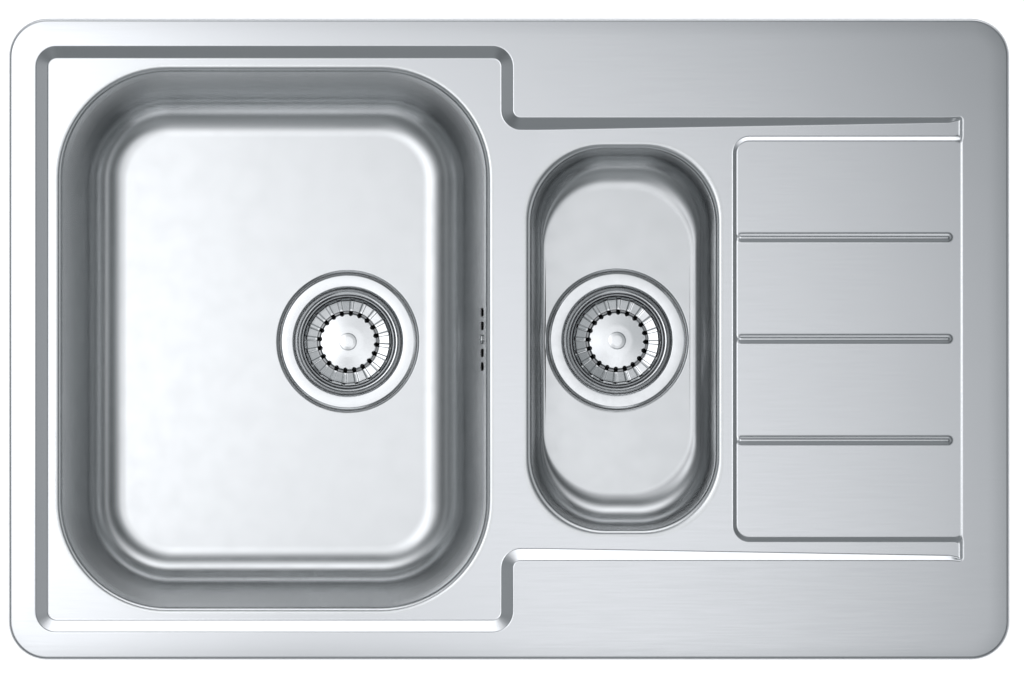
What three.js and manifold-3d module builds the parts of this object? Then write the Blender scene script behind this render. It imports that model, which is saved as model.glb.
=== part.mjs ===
// Kitchen sink with drainboard: an inset one-and-a-half-bowl sink pressed from stainless
// sheet, with two basket wastes, an overflow and the clamps that hold it in a worktop.
// Millimetres. +X runs from the bowls to the drainer, +Y to the back, +Z up. The origin is
// the centre of the worktop cut-out, in the plane of the worktop's top.

import * as THREE from 'three';
import { mergeVertices } from 'three/addons/utils/BufferGeometryUtils.js';
import Module from 'manifold-3d';

const wasm = await Module();
wasm.setup();

// ---------------------------------------------------------------- driving dimensions

// Deck, in plan
const sinkLength = 780;
const sinkDepth = 500;
const cornerRadius = 30;
const rimBand = 20.3; // flat rim, from the outer edge to the tray's step
const endBand = 37; // the same at the drainer's end
const stepWidth = 10.4; // plan width of the sloping step from the rim down to the tray
const trayCornerRadius = 16;
const jogRadius = 6; // where the tray narrows beside the half bowl
const drainerHalfWidth = 173.8; // half of the tray's narrow part, at the rim's edge
const bowlLand = 6; // flat tray between a step and the main bowl
const halfBowlLand = 10.5; // flat tray between the step and the half bowl's ends

// Deck, in section
const sheet = 0.8;
const rimHeight = 4; // rim's top above the worktop
const edgeRadius = 2.5; // rolled outer edge
const skirtWall = 1;
const trayDepth = 6;
const channelEndDepth = 2.2; // the tray rises to this depth at the drainer's end

// Drainer plateau and its ribs
const plateauGap = 7.8; // flat tray between the half bowl and the plateau's foot
const plateauMargin = 14.2; // from the rim's edge to the plateau's foot
const plateauHeight = 1.9;
const plateauStep = 4.6; // plan width of the plateau's sloping edge
const plateauRadius = 14;
const ribPitch = 79;
const ribCount = 3;
const ribWidth = 8.7;
const ribHeight = 1.2;
const ribTopWidth = 3.4;
const ribEndGap = 7; // from the ribs' ends to the drainer's end

// Bowls
const mainBowlLength = 340;
const mainBowlDepth = 150; // below the tray
const mainBowlRadius = 87;
const mainBowlFillet = 29; // between wall and floor
const mainBowlDraft = THREE.MathUtils.degToRad(8);
const bridge = 26; // between the two openings
const halfBowlLength = 152.8;
const halfBowlDepth = 82;
const halfBowlRadius = 59;
const halfBowlFilletHeight = 24;
const halfBowlLeftInset = 14.5; // plan width from the opening to the floor, side by side
const halfBowlRightInset = 19;
const halfBowlEndInset = 33.5;
const halfBowlFloorRadius = 50;
const halfBowlDraft = THREE.MathUtils.degToRad(3);
const lipRadius = 5;
const seamMargin = 1.5; // flat margin of the bowl's own sheet round its lip

// Wastes: 3 1/2" basket strainers
const mainWasteShift = 56; // from the main bowl's centre towards the half bowl
const halfWasteShift = -4.4;
const wasteHoleRadius = 45;
const recessRadius = 56.5;
const recessDepth = 3;
const flangeRadius = 53.5;
const flangeThickness = 1.2;
const throatRadius = 42.3;
const ledgeRadius = 39.6;
const ledgeDrop = 9;
const cupRadius = 36.9; // inside, at the bottom
const cupDepth = 29;
const cupWall = 1;
const bodyWall = 3;
const outletRadius = 23.9; // outside of the 1 1/2" thread
const outletWall = 2.9;
const outletDrop = 25; // length of the outlet's straight end
const bodyDrop = 53; // from the bowl's floor to the outlet's top
const gasketThickness = 2.5;
const wasteScrewRadius = 3;
const wasteScrewLength = 30;
const wasteScrewHead = 6;
const bossFloor = 2; // plastic below the screw's end
const spokeWidth = 3;
const spokeHeight = 12;
const drainSlots = 6;
const drainSlotWidth = 4.5;
const drainSlotStart = 13;
const drainSlotEnd = 25;
const bodyFlangeRadius = 52;
const bodyFlangeThickness = 4;
const bodyBelowCup = 4;
const bossRadius = 7;

// Baskets
const basketRimRadius = 36.2;
const basketFloorRadius = 32.9;
const domeFootRadius = 24;
const domeTopRadius = 21.4;
const basketDepth = 12; // from the basket's rim to its floor
const basketRimDrop = 10.5; // from the bowl's floor to the basket's rim
const domeHeight = 8.5;
const basketWall = 0.7;
const slotCount = 20;
const slotWidth = 2.9;
const holeWidth = 2.4;
const knobRadius = 6.9;
const knobHeight = 6.5;
const stemRadius = 2.7;
const sealRadius = 30;
const sealThickness = 2;
const holderRadius = 22;
const crownRise = 1.5; // dome's rise towards the knob

// Overflow
const slotPitch = 10.6;
const overflowSlotWidth = 6.5;
const overflowSlotHeight = 18;
const overflowDrop = 24; // from the tray to the slots' centre
const overflowDepth = 20;
const overflowHeight = 34;
const overflowWall = 2;
const overflowGasket = 1.5;
const overflowScrewRadius = 2.2;
const overflowScrewHead = 3.9;
const hoseRadius = 11; // over the ribs
const hoseGroove = 1.6; // depth of the grooves between ribs
const hoseBore = 8.4;
const hosePitch = 5;
const hoseBend = 30;
const spigotLength = 12;
const spigotWall = 2;
const portDrop = 24; // from the bowl's floor to the overflow port's centre
const portReach = 50; // from the waste's axis to the port's collar

// Fixing clamps
const lugInset = 12; // from the sink's outer edge
const lugFoot = 7.5;
const lugSheet = 1.5;
const lugWidth = 18;
const lugDrop = 24; // shelf's top below the worktop's top
const lugReach = 25;
const screwInset = 29; // screw's axis, from the sink's outer edge
const screwRadius = 3;
const screwHeadRadius = 5.6;
const screwHeadHeight = 4;
const screwAboveNut = 2;
const nutHeight = 5;
const nutRadius = 5.9;
const worktop = 38; // worktop held at rest
const clawThickness = 2.5;
const clawRise = 3.3; // from the claw's plate up to its teeth
const clawWidth = 16;
const clawTipInset = 3;
const clawTail = 9;
const washerThickness = 1.6;
const washerRadius = 8;
const clampOffset = 190; // clamps on the long edges, either side of the middle

// Seals and pad
const sealInset = 1.6;
const sealWidth = 6.4;
const padThickness = 3;
const padLength = 90;
const padDepth = 210;
const padGap = 20; // between the pad and the main waste's recess

// Fits and facets
const gap = 0.3; // between pieces that touch
const planSteps = 5; // facets on a corner in plan
const ribSteps = 3;
const roundSides = 24;
const smallSides = 10;
const lipSteps = 3;
const filletSteps = 4;

// ---------------------------------------------------------------- places

const rimTop = rimHeight;
const trayTop = rimTop - trayDepth;
const leftEdge = -sinkLength / 2;
const trayLeft = leftEdge + rimBand;
const trayHalfDepth = sinkDepth / 2 - rimBand;
const mainLeft = trayLeft + stepWidth + bowlLand;
const mainRight = mainLeft + mainBowlLength;
const mainHalfDepth = trayHalfDepth - stepWidth - bowlLand;
const jogX = mainRight + bowlLand + stepWidth;
const halfLeft = mainRight + bridge;
const halfRight = halfLeft + halfBowlLength;
const halfHalfDepth = drainerHalfWidth - stepWidth - halfBowlLand;
const trayRight = sinkLength / 2 - endBand;
const plateauLeft = halfRight + plateauGap;
const rampStart = plateauLeft - plateauStep;
const rampSlope = (trayDepth - channelEndDepth) / (trayRight - rampStart);
const mainFloor = trayTop - mainBowlDepth;
const halfFloor = trayTop - halfBowlDepth;
const mainWasteX = (mainLeft + mainRight) / 2 + mainWasteShift;
const halfWasteX = (halfLeft + halfRight) / 2 + halfWasteShift;

// ---------------------------------------------------------------- solids

const stainless = { color: 0xc8cbce, metalness: 1, roughness: 0.3 };
const polished = { color: 0xd8dadd, metalness: 1, roughness: 0.12 };
const zinc = { color: 0xaeb2b8, metalness: 1, roughness: 0.4 };
const plastic = { color: 0xe9e9e6, metalness: 0, roughness: 0.45 };
const darkPlastic = { color: 0x55585c, metalness: 0, roughness: 0.5 };
const rubber = { color: 0x26272a, metalness: 0, roughness: 0.8 };
const foam = { color: 0x3a3b3d, metalness: 0, roughness: 0.95 };

// A closed geometry as a solid, its shared vertices merged and its faces turned outwards.
function solid(geometry) {
  const bare = geometry.clone();
  bare.deleteAttribute('normal');
  bare.deleteAttribute('uv');
  const merged = mergeVertices(bare, 1e-4);
  const position = merged.attributes.position.array;
  const corner = (k) => new THREE.Vector3().fromArray(position, 3 * k);
  let volume = 0;
  const faces = [];
  for (let i = 0; i < merged.index.count; i += 3) {
    const [a, b, c] = merged.index.array.slice(i, i + 3);
    if (a === b || b === c || c === a) continue;
    volume += corner(a).dot(corner(b).cross(corner(c)));
    faces.push(a, b, c);
  }
  if (volume < 0) faces.reverse();
  return new wasm.Manifold(new wasm.Mesh({
    numProp: 3,
    vertProperties: Float32Array.from(position),
    triVerts: Uint32Array.from(faces),
  }));
}

// A named mesh from a solid or a closed geometry.
function piece(name, shape, finish) {
  const manifold = shape.isBufferGeometry ? solid(shape) : shape;
  const { vertProperties, triVerts } = manifold.getMesh();
  const geometry = new THREE.BufferGeometry();
  geometry.setAttribute('position', new THREE.BufferAttribute(vertProperties, 3));
  geometry.setIndex(new THREE.BufferAttribute(triVerts, 1));
  geometry.computeVertexNormals();
  const material = new THREE.MeshStandardMaterial({ ...finish, flatShading: true });
  const mesh = new THREE.Mesh(geometry, material);
  mesh.name = name;
  return mesh;
}

const join = (...geometries) => geometries.map(solid).reduce((sum, next) => sum.add(next));
const cut = (body, ...tools) =>
  tools.reduce((rest, tool) => rest.subtract(tool.isBufferGeometry ? solid(tool) : tool), body);

function box(x0, x1, y0, y1, z0, z1) {
  const geometry = new THREE.BoxGeometry(x1 - x0, y1 - y0, z1 - z0);
  return geometry.translate((x0 + x1) / 2, (y0 + y1) / 2, (z0 + z1) / 2);
}

// An upright cylinder.
function rod(radius, low, high, sides = smallSides) {
  const geometry = new THREE.CylinderGeometry(radius, radius, high - low, sides);
  return geometry.rotateX(Math.PI / 2).translate(0, 0, (low + high) / 2);
}

// A solid of revolution about Z from [radius, height] pairs; a profile off the axis is closed.
function revolve(profile, sides = roundSides) {
  const points = profile.map(([radius, height]) => new THREE.Vector2(radius, height));
  if (points[0].x > 0) points.push(points[0].clone());
  return new THREE.LatheGeometry(points, sides).rotateX(Math.PI / 2);
}

// A profile in X and Z, drawn out to a width centred on Y = 0.
function drawnOut(profile, width) {
  const shape = new THREE.Shape(profile.map(([x, z]) => new THREE.Vector2(x, z)));
  const geometry = new THREE.ExtrudeGeometry(shape, { depth: width, bevelEnabled: false });
  return geometry.rotateX(Math.PI / 2).translate(0, width / 2, 0);
}

// ---------------------------------------------------------------- contours and lofts

// Right-angled corners { x, y, r }, counter-clockwise, become points with rounded corners.
function rounded(corners, steps = planSteps) {
  return corners.flatMap((corner, i) => {
    const here = new THREE.Vector2(corner.x, corner.y);
    const before = corners.at(i - 1);
    const after = corners[(i + 1) % corners.length];
    const into = here.clone().sub(before).normalize();
    const out = new THREE.Vector2(after.x, after.y).sub(here).normalize();
    const centre = here.clone().addScaledVector(out, corner.r).addScaledVector(into, -corner.r);
    return Array.from({ length: steps + 1 }, (_, k) => {
      const angle = (k / steps) * (Math.PI / 2);
      return centre.clone()
        .addScaledVector(out, -corner.r * Math.cos(angle))
        .addScaledVector(into, corner.r * Math.sin(angle));
    });
  });
}

// The same corners moved inwards; an outer corner gets tighter and an inner one wider.
function inset(corners, distance) {
  return corners.map((corner, i) => {
    const before = corners.at(i - 1);
    const after = corners[(i + 1) % corners.length];
    const into = new THREE.Vector2(corner.x - before.x, corner.y - before.y).normalize();
    const out = new THREE.Vector2(after.x - corner.x, after.y - corner.y).normalize();
    const turn = Math.sign(into.cross(out));
    return {
      x: corner.x - distance * (into.y + out.y),
      y: corner.y + distance * (into.x + out.x),
      r: Math.max(corner.r - turn * distance, gap),
    };
  });
}

function rectangle(x0, x1, y0, y1, r) {
  return [{ x: x0, y: y0, r }, { x: x1, y: y0, r }, { x: x1, y: y1, r }, { x: x0, y: y1, r }];
}

// A closed solid through contours of equal length, given as { contour, z } from the bottom up.
function loft(levels) {
  const count = levels[0].contour.length;
  const position = levels.flatMap(({ contour, z }) => contour.flatMap((p) => [p.x, p.y, z]));
  const index = [];
  for (let i = 0; i + 1 < levels.length; i += 1) {
    for (let j = 0; j < count; j += 1) {
      const a = i * count + j;
      const b = i * count + ((j + 1) % count);
      index.push(a, b, b + count, a, b + count, a + count);
    }
  }
  const top = (levels.length - 1) * count;
  for (const [a, b, c] of THREE.ShapeUtils.triangulateShape(levels[0].contour, [])) {
    index.push(a, c, b);
  }
  for (const [a, b, c] of THREE.ShapeUtils.triangulateShape(levels.at(-1).contour, [])) {
    index.push(top + a, top + b, top + c);
  }
  const geometry = new THREE.BufferGeometry();
  geometry.setAttribute('position', new THREE.Float32BufferAttribute(position, 3));
  geometry.setIndex(index);
  return geometry;
}

const prism = (contour, low, high) => loft([{ contour, z: low }, { contour, z: high }]);

// ---------------------------------------------------------------- deck

const outline = rectangle(leftEdge, -leftEdge, -sinkDepth / 2, sinkDepth / 2, cornerRadius);

const trayOutline = [
  { x: trayLeft, y: -trayHalfDepth, r: trayCornerRadius },
  { x: jogX, y: -trayHalfDepth, r: trayCornerRadius },
  { x: jogX, y: -drainerHalfWidth, r: jogRadius },
  { x: trayRight, y: -drainerHalfWidth, r: channelEndDepth },
  { x: trayRight, y: drainerHalfWidth, r: channelEndDepth },
  { x: jogX, y: drainerHalfWidth, r: jogRadius },
  { x: jogX, y: trayHalfDepth, r: trayCornerRadius },
  { x: trayLeft, y: trayHalfDepth, r: trayCornerRadius },
];

// Lifts a flat shape by the drainer's slope.
function onRamp(geometry) {
  const position = geometry.attributes.position;
  for (let i = 0; i < position.count; i += 1) {
    const rise = Math.max(position.getX(i) - rampStart, 0) * rampSlope;
    position.setZ(i, position.getZ(i) + rise);
  }
  return geometry;
}

// Everything below the deck's upper face, down to a level that is cut away later.
function deckBlock(below) {
  const edge = [0, Math.PI / 6, Math.PI / 3, Math.PI / 2].map((angle) => ({
    contour: rounded(inset(outline, edgeRadius * (1 - Math.cos(angle)))),
    z: rimTop - edgeRadius * (1 - Math.sin(angle)),
  }));
  const block = solid(loft([{ contour: rounded(outline), z: below }, ...edge]));
  const cavity = solid(loft([
    { contour: rounded(inset(trayOutline, stepWidth)), z: trayTop },
    { contour: rounded(trayOutline), z: rimTop },
    { contour: rounded(inset(trayOutline, -stepWidth / trayDepth)), z: rimTop + 1 },
  ]));
  const rampEnd = sinkLength / 2;
  const ramp = drawnOut([
    [rampStart, trayTop],
    [rampStart, below],
    [rampEnd, below],
    [rampEnd, trayTop + (rampEnd - rampStart) * rampSlope],
  ], sinkDepth);
  return cut(block, cut(cavity, ramp));
}

// The drainer's raised plateau, which runs into the rim at its end.
function plateau() {
  const halfDepth = drainerHalfWidth - plateauMargin;
  const end = trayRight + plateauStep + gap;
  const foot = rectangle(plateauLeft, end, -halfDepth, halfDepth, plateauRadius);
  return onRamp(loft([
    { contour: rounded(foot), z: trayTop - sheet },
    { contour: rounded(foot), z: trayTop },
    { contour: rounded(inset(foot, plateauStep)), z: trayTop + plateauHeight },
  ]));
}

function rib(y) {
  const start = plateauLeft + plateauStep / 2;
  const base = rectangle(start, trayRight - ribEndGap, y - ribWidth / 2, y + ribWidth / 2,
    ribWidth / 2 - gap);
  const crown = inset(base, (ribWidth - ribTopWidth) / 2);
  const level = trayTop + plateauHeight;
  return onRamp(loft([
    { contour: rounded(base, ribSteps), z: level - sheet },
    { contour: rounded(base, ribSteps), z: level },
    { contour: rounded(crown, ribSteps), z: level + ribHeight },
  ]));
}

// A bowl's section, the same for the deck's opening and the bowl that is welded into it.
function bowlShape({ left, right, halfDepth, radius, floorRadius, floor, draft, fillet, insets }) {
  const wallTop = trayTop - lipRadius * (1 - Math.sin(draft));
  const wallFoot = floor + fillet * (1 - Math.sin(draft));
  const straight = lipRadius * Math.cos(draft) + (wallTop - wallFoot) * Math.tan(draft);
  const whole = insets ?? uniform(straight + fillet * Math.cos(draft));
  const deepest = whole.end;
  const floorCorner = floorRadius ?? radius - deepest;

  // The contour at an inset given side by side, its corner tightening towards the floor.
  const contour = (distance) => {
    const r = radius - (radius - floorCorner) * (distance.end / deepest);
    return rounded(rectangle(left + distance.left, right - distance.right,
      distance.end - halfDepth, halfDepth - distance.end, r));
  };
  // Contours from the floor up to the tray, drawn on the sheet's face at a depth into it.
  const levels = (into) => {
    const up = Array.from({ length: filletSteps + 1 }, (_, k) => {
      const angle = Math.PI / 2 - (k / filletSteps) * (Math.PI / 2 - draft);
      const side = (total) => {
        const width = (total - straight) / Math.cos(draft) + into;
        return total - width * Math.cos(angle);
      };
      return {
        contour: contour({
          left: side(whole.left), right: side(whole.right), end: side(whole.end),
        }),
        z: floor + fillet - (fillet + into) * Math.sin(angle),
      };
    });
    const over = Array.from({ length: lipSteps + 1 }, (_, k) => {
      const angle = (1 - k / lipSteps) * (Math.PI / 2 - draft);
      const r = lipRadius - into;
      return {
        contour: contour(uniform(r * Math.sin(angle))),
        z: trayTop - lipRadius + r * Math.cos(angle),
      };
    });
    return [...up, ...over];
  };
  return { contour, levels, floor, straight, wallTop };
}

const uniform = (distance) => ({ left: distance, right: distance, end: distance });

const mainShape = bowlShape({
  left: mainLeft, right: mainRight, halfDepth: mainHalfDepth, radius: mainBowlRadius,
  floor: mainFloor, draft: mainBowlDraft, fillet: mainBowlFillet,
});
const halfShape = bowlShape({
  left: halfLeft, right: halfRight, halfDepth: halfHalfDepth, radius: halfBowlRadius,
  floorRadius: halfBowlFloorRadius, floor: halfFloor, draft: halfBowlDraft,
  fillet: halfBowlFilletHeight,
  insets: { left: halfBowlLeftInset, right: halfBowlRightInset, end: halfBowlEndInset },
});

function deck() {
  const below = trayTop - trayDepth;
  const ribs = Array.from({ length: ribCount }, (_, i) => rib((i - (ribCount - 1) / 2) * ribPitch));
  const body = deckBlock(below).add(join(plateau(), ...ribs));
  const skin = body.subtract(body.translate([0, 0, -sheet]));
  const skirt = cut(
    solid(prism(rounded(outline), 0, rimTop - edgeRadius)),
    prism(rounded(inset(outline, skirtWall)), -1, rimTop),
  );
  const openings = [mainShape, halfShape].map((bowl) =>
    prism(bowl.contour(uniform(-seamMargin - gap)), below, rimTop + 1));
  return piece('deck', cut(skin.add(skirt), ...openings), stainless);
}

// ---------------------------------------------------------------- bowls

// A pressed bowl with a recess and a hole for its waste; more cuts can follow.
function bowl(name, shape, wasteX, ...cuts) {
  const { contour, levels, floor } = shape;
  const seam = contour(uniform(-seamMargin));
  const outside = solid(loft([
    ...levels(sheet), { contour: seam, z: trayTop - sheet }, { contour: seam, z: trayTop },
  ]));
  const inside = levels(0);
  const hollow = loft([...inside, { contour: inside.at(-1).contour, z: trayTop + 1 }]);
  const at = (geometry) => geometry.translate(wasteX, 0, 0);
  const bottom = floor - recessDepth;
  const recess = solid(at(rod(recessRadius + sheet, bottom - sheet, floor, roundSides)));
  return piece(name, cut(
    outside.add(recess),
    hollow,
    at(rod(recessRadius, bottom, floor + 1, roundSides)),
    at(rod(wasteHoleRadius, bottom - 1, floor, roundSides)),
    ...cuts,
  ), stainless);
}

// Where the main bowl's right wall stands at the overflow's height.
const overflowZ = trayTop - overflowDrop;
const overflowWallX = mainRight
  - lipRadius * Math.cos(mainBowlDraft)
  - (mainShape.wallTop - overflowZ) * Math.tan(mainBowlDraft);

function mainBowl() {
  const slots = [-2, -1, 1, 2].map((place) => {
    const y = place * slotPitch;
    return box(overflowWallX - overflowDepth / 2, mainRight,
      y - overflowSlotWidth / 2, y + overflowSlotWidth / 2,
      overflowZ - overflowSlotHeight / 2, overflowZ + overflowSlotHeight / 2);
  });
  const screwHole = rod(overflowScrewRadius + gap, -overflowDepth / 2, overflowDepth / 2, 8)
    .rotateY(Math.PI / 2).translate(overflowWallX, 0, overflowZ);
  return bowl('main_bowl', mainShape, mainWasteX, ...slots, screwHole);
}

const halfBowl = () => bowl('half_bowl', halfShape, halfWasteX);

function bowlPad() {
  const right = mainWasteX - recessRadius - padGap;
  const top = mainFloor - sheet - gap;
  const corners = rectangle(right - padLength, right, -padDepth / 2, padDepth / 2, padThickness);
  return piece('main_bowl_pad', prism(rounded(corners, 2), top - padThickness, top), foam);
}

function rimSeal() {
  const top = rimTop - sheet - gap;
  return piece('rim_seal', cut(
    solid(prism(rounded(inset(outline, sealInset)), 0, top)),
    prism(rounded(inset(outline, sealInset + sealWidth)), -1, top + 1),
  ), foam);
}

// ---------------------------------------------------------------- wastes

const flangeGasketTop = -flangeThickness - gap;
const lowerGasketTop = -recessDepth - sheet - gap;
const bodyTop = lowerGasketTop - gasketThickness - gap;
const cupBottom = -cupDepth - cupWall;
const sealTop = -cupDepth + gap + sealThickness;
const basketFloor = -basketRimDrop - basketDepth;
const basketCrown = basketFloor + domeHeight + crownRise;

function strainerCup(prefix) {
  const shell = solid(revolve([
    [flangeRadius, -flangeThickness],
    [flangeRadius, -gap],
    [flangeRadius - gap, 0],
    [throatRadius + cupWall, 0],
    [throatRadius, -cupWall],
    [ledgeRadius, -ledgeDrop],
    [cupRadius + cupWall, -ledgeDrop - cupWall],
    [cupRadius, -cupDepth],
    [wasteScrewRadius + gap, -cupDepth],
    [wasteScrewRadius + gap, cupBottom],
    [cupRadius + cupWall, cupBottom],
    [cupRadius + 2 * cupWall, -ledgeDrop - 2 * cupWall],
    [ledgeRadius + cupWall, -ledgeDrop - cupWall],
    [throatRadius + cupWall, -flangeThickness],
  ]));
  const slots = Array.from({ length: drainSlots }, (_, i) =>
    box(drainSlotStart, drainSlotEnd, -drainSlotWidth / 2, drainSlotWidth / 2,
      cupBottom - 1, -cupDepth + 1).rotateZ((i / drainSlots) * 2 * Math.PI));
  return piece(`${prefix}_strainer_cup`, cut(shell, ...slots), stainless);
}

function ring(name, inner, outer, low, high, finish) {
  return piece(name, revolve([[inner, low], [outer, low], [outer, high], [inner, high]]), finish);
}

// The plastic body under the bowl: the centre screw draws it up by its boss.
function wasteBody(prefix, hasPort) {
  const bore = throatRadius + cupWall;
  const coneTop = cupBottom - bodyBelowCup;
  const outletEnd = -bodyDrop - outletDrop;
  const outside = [
    [bodyFlangeRadius, bodyTop],
    [bodyFlangeRadius, bodyTop - bodyFlangeThickness],
    [bore + bodyWall, bodyTop - bodyFlangeThickness],
    [bore + bodyWall, coneTop - bodyWall / 2],
    [outletRadius, -bodyDrop - bodyWall / 2],
    [outletRadius, outletEnd],
  ];
  const filled = solid(revolve([[0, bodyTop], ...outside, [0, outletEnd]]));
  const hollow = revolve([
    [0, bodyTop + 1],
    [bore, bodyTop + 1],
    [bore, coneTop],
    [outletRadius - outletWall, -bodyDrop],
    [outletRadius - outletWall, outletEnd - 1],
    [0, outletEnd - 1],
  ]);
  const screwEnd = -cupDepth - wasteScrewLength;
  const boss = rod(bossRadius, screwEnd - bossFloor, coneTop);
  const spokes = [0, Math.PI / 2].map((turn) =>
    box(-bodyFlangeRadius, bodyFlangeRadius, -spokeWidth / 2, spokeWidth / 2,
      coneTop - spokeHeight, coneTop - gap).rotateZ(turn));
  const spider = join(boss, ...spokes).intersect(filled);
  const screwBore = rod(wasteScrewRadius + gap, screwEnd - gap, coneTop + 1);
  let body = cut(cut(filled, hollow).add(spider), screwBore);
  if (hasPort) {
    const alongX = (geometry) => geometry.rotateY(Math.PI / 2).translate(0, 0, -portDrop);
    const nose = hoseBore - gap;
    const tube = join(
      alongX(rod(hoseRadius, bore + bodyWall / 2, portReach)),
      alongX(rod(nose, portReach - 1, portReach + spigotLength)),
    );
    const passage = alongX(rod(nose - spigotWall, bore - bodyWall, portReach + spigotLength + 1));
    body = cut(body.add(tube), passage);
  }
  return piece(`${prefix}_waste_body`, body, plastic);
}

function wasteScrew(prefix) {
  const under = -cupDepth + gap;
  return piece(`${prefix}_waste_screw`, join(
    rod(wasteScrewHead, under, sealTop),
    rod(wasteScrewRadius, -cupDepth - wasteScrewLength, under + gap),
  ), polished);
}

// The lift-out basket: a dome in a ring-shaped trough, slotted at the dome's foot and with a
// ring of holes in its outer wall.
function basket(prefix) {
  const rim = -basketRimDrop;
  const domeTop = basketFloor + domeHeight;
  const stemHole = stemRadius + gap;
  const shell = solid(revolve([
    [basketRimRadius - basketWall, rim],
    [basketFloorRadius, basketFloor],
    [domeFootRadius, basketFloor],
    [domeTopRadius, domeTop],
    [stemHole, basketCrown],
    [stemHole, basketCrown - basketWall],
    [domeTopRadius - basketWall, domeTop - basketWall],
    [domeFootRadius - basketWall, basketFloor - basketWall],
    [basketFloorRadius + basketWall, basketFloor - basketWall],
    [basketRimRadius, rim],
  ], slotCount));
  const slots = Array.from({ length: slotCount }, (_, i) => [
    box(domeTopRadius - 2 * basketWall, domeFootRadius + basketWall, -slotWidth / 2, slotWidth / 2,
      basketFloor + basketWall, basketFloor + domeHeight / 2),
    box(basketFloorRadius - basketWall, basketRimRadius, -holeWidth / 2, holeWidth / 2,
      basketFloor + basketWall, basketFloor + basketDepth / 2),
  ].map((slot) => slot.rotateZ(((i + 0.5) / slotCount) * 2 * Math.PI))).flat();
  return piece(`${prefix}_basket`, cut(shell, ...slots), polished);
}

function knob(prefix) {
  const base = basketCrown + gap;
  const dome = [0, 1, 2, 3].map((k) => {
    const angle = (k / 3) * (Math.PI / 2);
    return [knobRadius * Math.sin(angle), base + 1 + (knobHeight - 1) * Math.cos(angle)];
  });
  return piece(`${prefix}_basket_knob`, revolve([
    ...dome,
    [knobRadius - 1, base],
    [stemRadius, base],
    [stemRadius, sealTop + gap + basketWall],
    [0, sealTop + gap + basketWall],
  ], 16), polished);
}

function waste(prefix, x, floor, hasPort) {
  const group = new THREE.Group();
  group.position.set(x, 0, floor);
  const holderLow = sealTop + gap;
  group.add(
    strainerCup(prefix),
    ring(`${prefix}_flange_gasket`, wasteHoleRadius + gap, flangeRadius - 1,
      -recessDepth + gap, flangeGasketTop, rubber),
    ring(`${prefix}_lower_gasket`, wasteHoleRadius, bodyFlangeRadius,
      lowerGasketTop - gasketThickness, lowerGasketTop, rubber),
    wasteBody(prefix, hasPort),
    wasteScrew(prefix),
    basket(prefix),
    knob(prefix),
    ring(`${prefix}_basket_seal`, wasteScrewHead + 1, sealRadius, sealTop - sealThickness,
      sealTop, rubber),
    ring(`${prefix}_seal_holder`, stemRadius + gap, holderRadius, holderLow,
      holderLow + sealThickness, darkPlastic),
  );
  return group;
}

// ---------------------------------------------------------------- overflow

const housingWidth = 4 * slotPitch + overflowSlotWidth + 3 * overflowWall;
const housingFront = overflowGasket + 2 * gap;
const spigotX = housingFront + overflowDepth / 2;
const collarLength = spigotLength / 2;

// Built in the tilted frame of the bowl's wall: +X away from the bowl, +Z up the wall.
function overflow() {
  const group = new THREE.Group();
  group.position.set(overflowWallX + sheet / Math.cos(mainBowlDraft), 0, overflowZ);
  group.rotation.y = mainBowlDraft;
  const half = housingWidth / 2;
  const tall = overflowHeight / 2;
  const back = housingFront + overflowDepth;
  const face = (margin, x0, x1) =>
    box(x0, x1, margin - half, half - margin, margin - tall, tall - margin);
  const gasket = cut(solid(face(0, gap, gap + overflowGasket)),
    face(2 * overflowWall, 0, housingFront));

  const alongX = (geometry) => geometry.rotateY(Math.PI / 2);
  const nose = hoseBore - gap;
  const boss = alongX(rod(2 * overflowScrewRadius, housingFront, back - overflowWall / 2));
  const collar = rod(hoseRadius - hoseGroove, -tall - collarLength, 1 - tall)
    .translate(spigotX, 0, 0);
  const spigot = rod(nose, -tall - collarLength - spigotLength, 1 - tall)
    .translate(spigotX, 0, 0);
  const passage = rod(nose - spigotWall, -tall - collarLength - spigotLength - 1, -overflowWall)
    .translate(spigotX, 0, 0);
  const shell = cut(solid(face(0, housingFront, back)),
    face(overflowWall, housingFront - 1, back - overflowWall));
  const housing = cut(
    cut(shell.add(join(collar, spigot)), passage).add(solid(boss)),
    alongX(rod(overflowScrewRadius + gap, 0, back - overflowWall - gap)),
  );

  const headBack = -sheet - gap;
  const screw = join(
    alongX(rod(overflowScrewHead, headBack - overflowScrewRadius, headBack)),
    alongX(rod(overflowScrewRadius, headBack - 1, back - overflowWall - 1)),
  );
  group.add(
    piece('overflow_gasket', gasket, rubber),
    piece('overflow_housing', housing, plastic),
    piece('overflow_screw', screw, polished),
  );
  return group;
}

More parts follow.
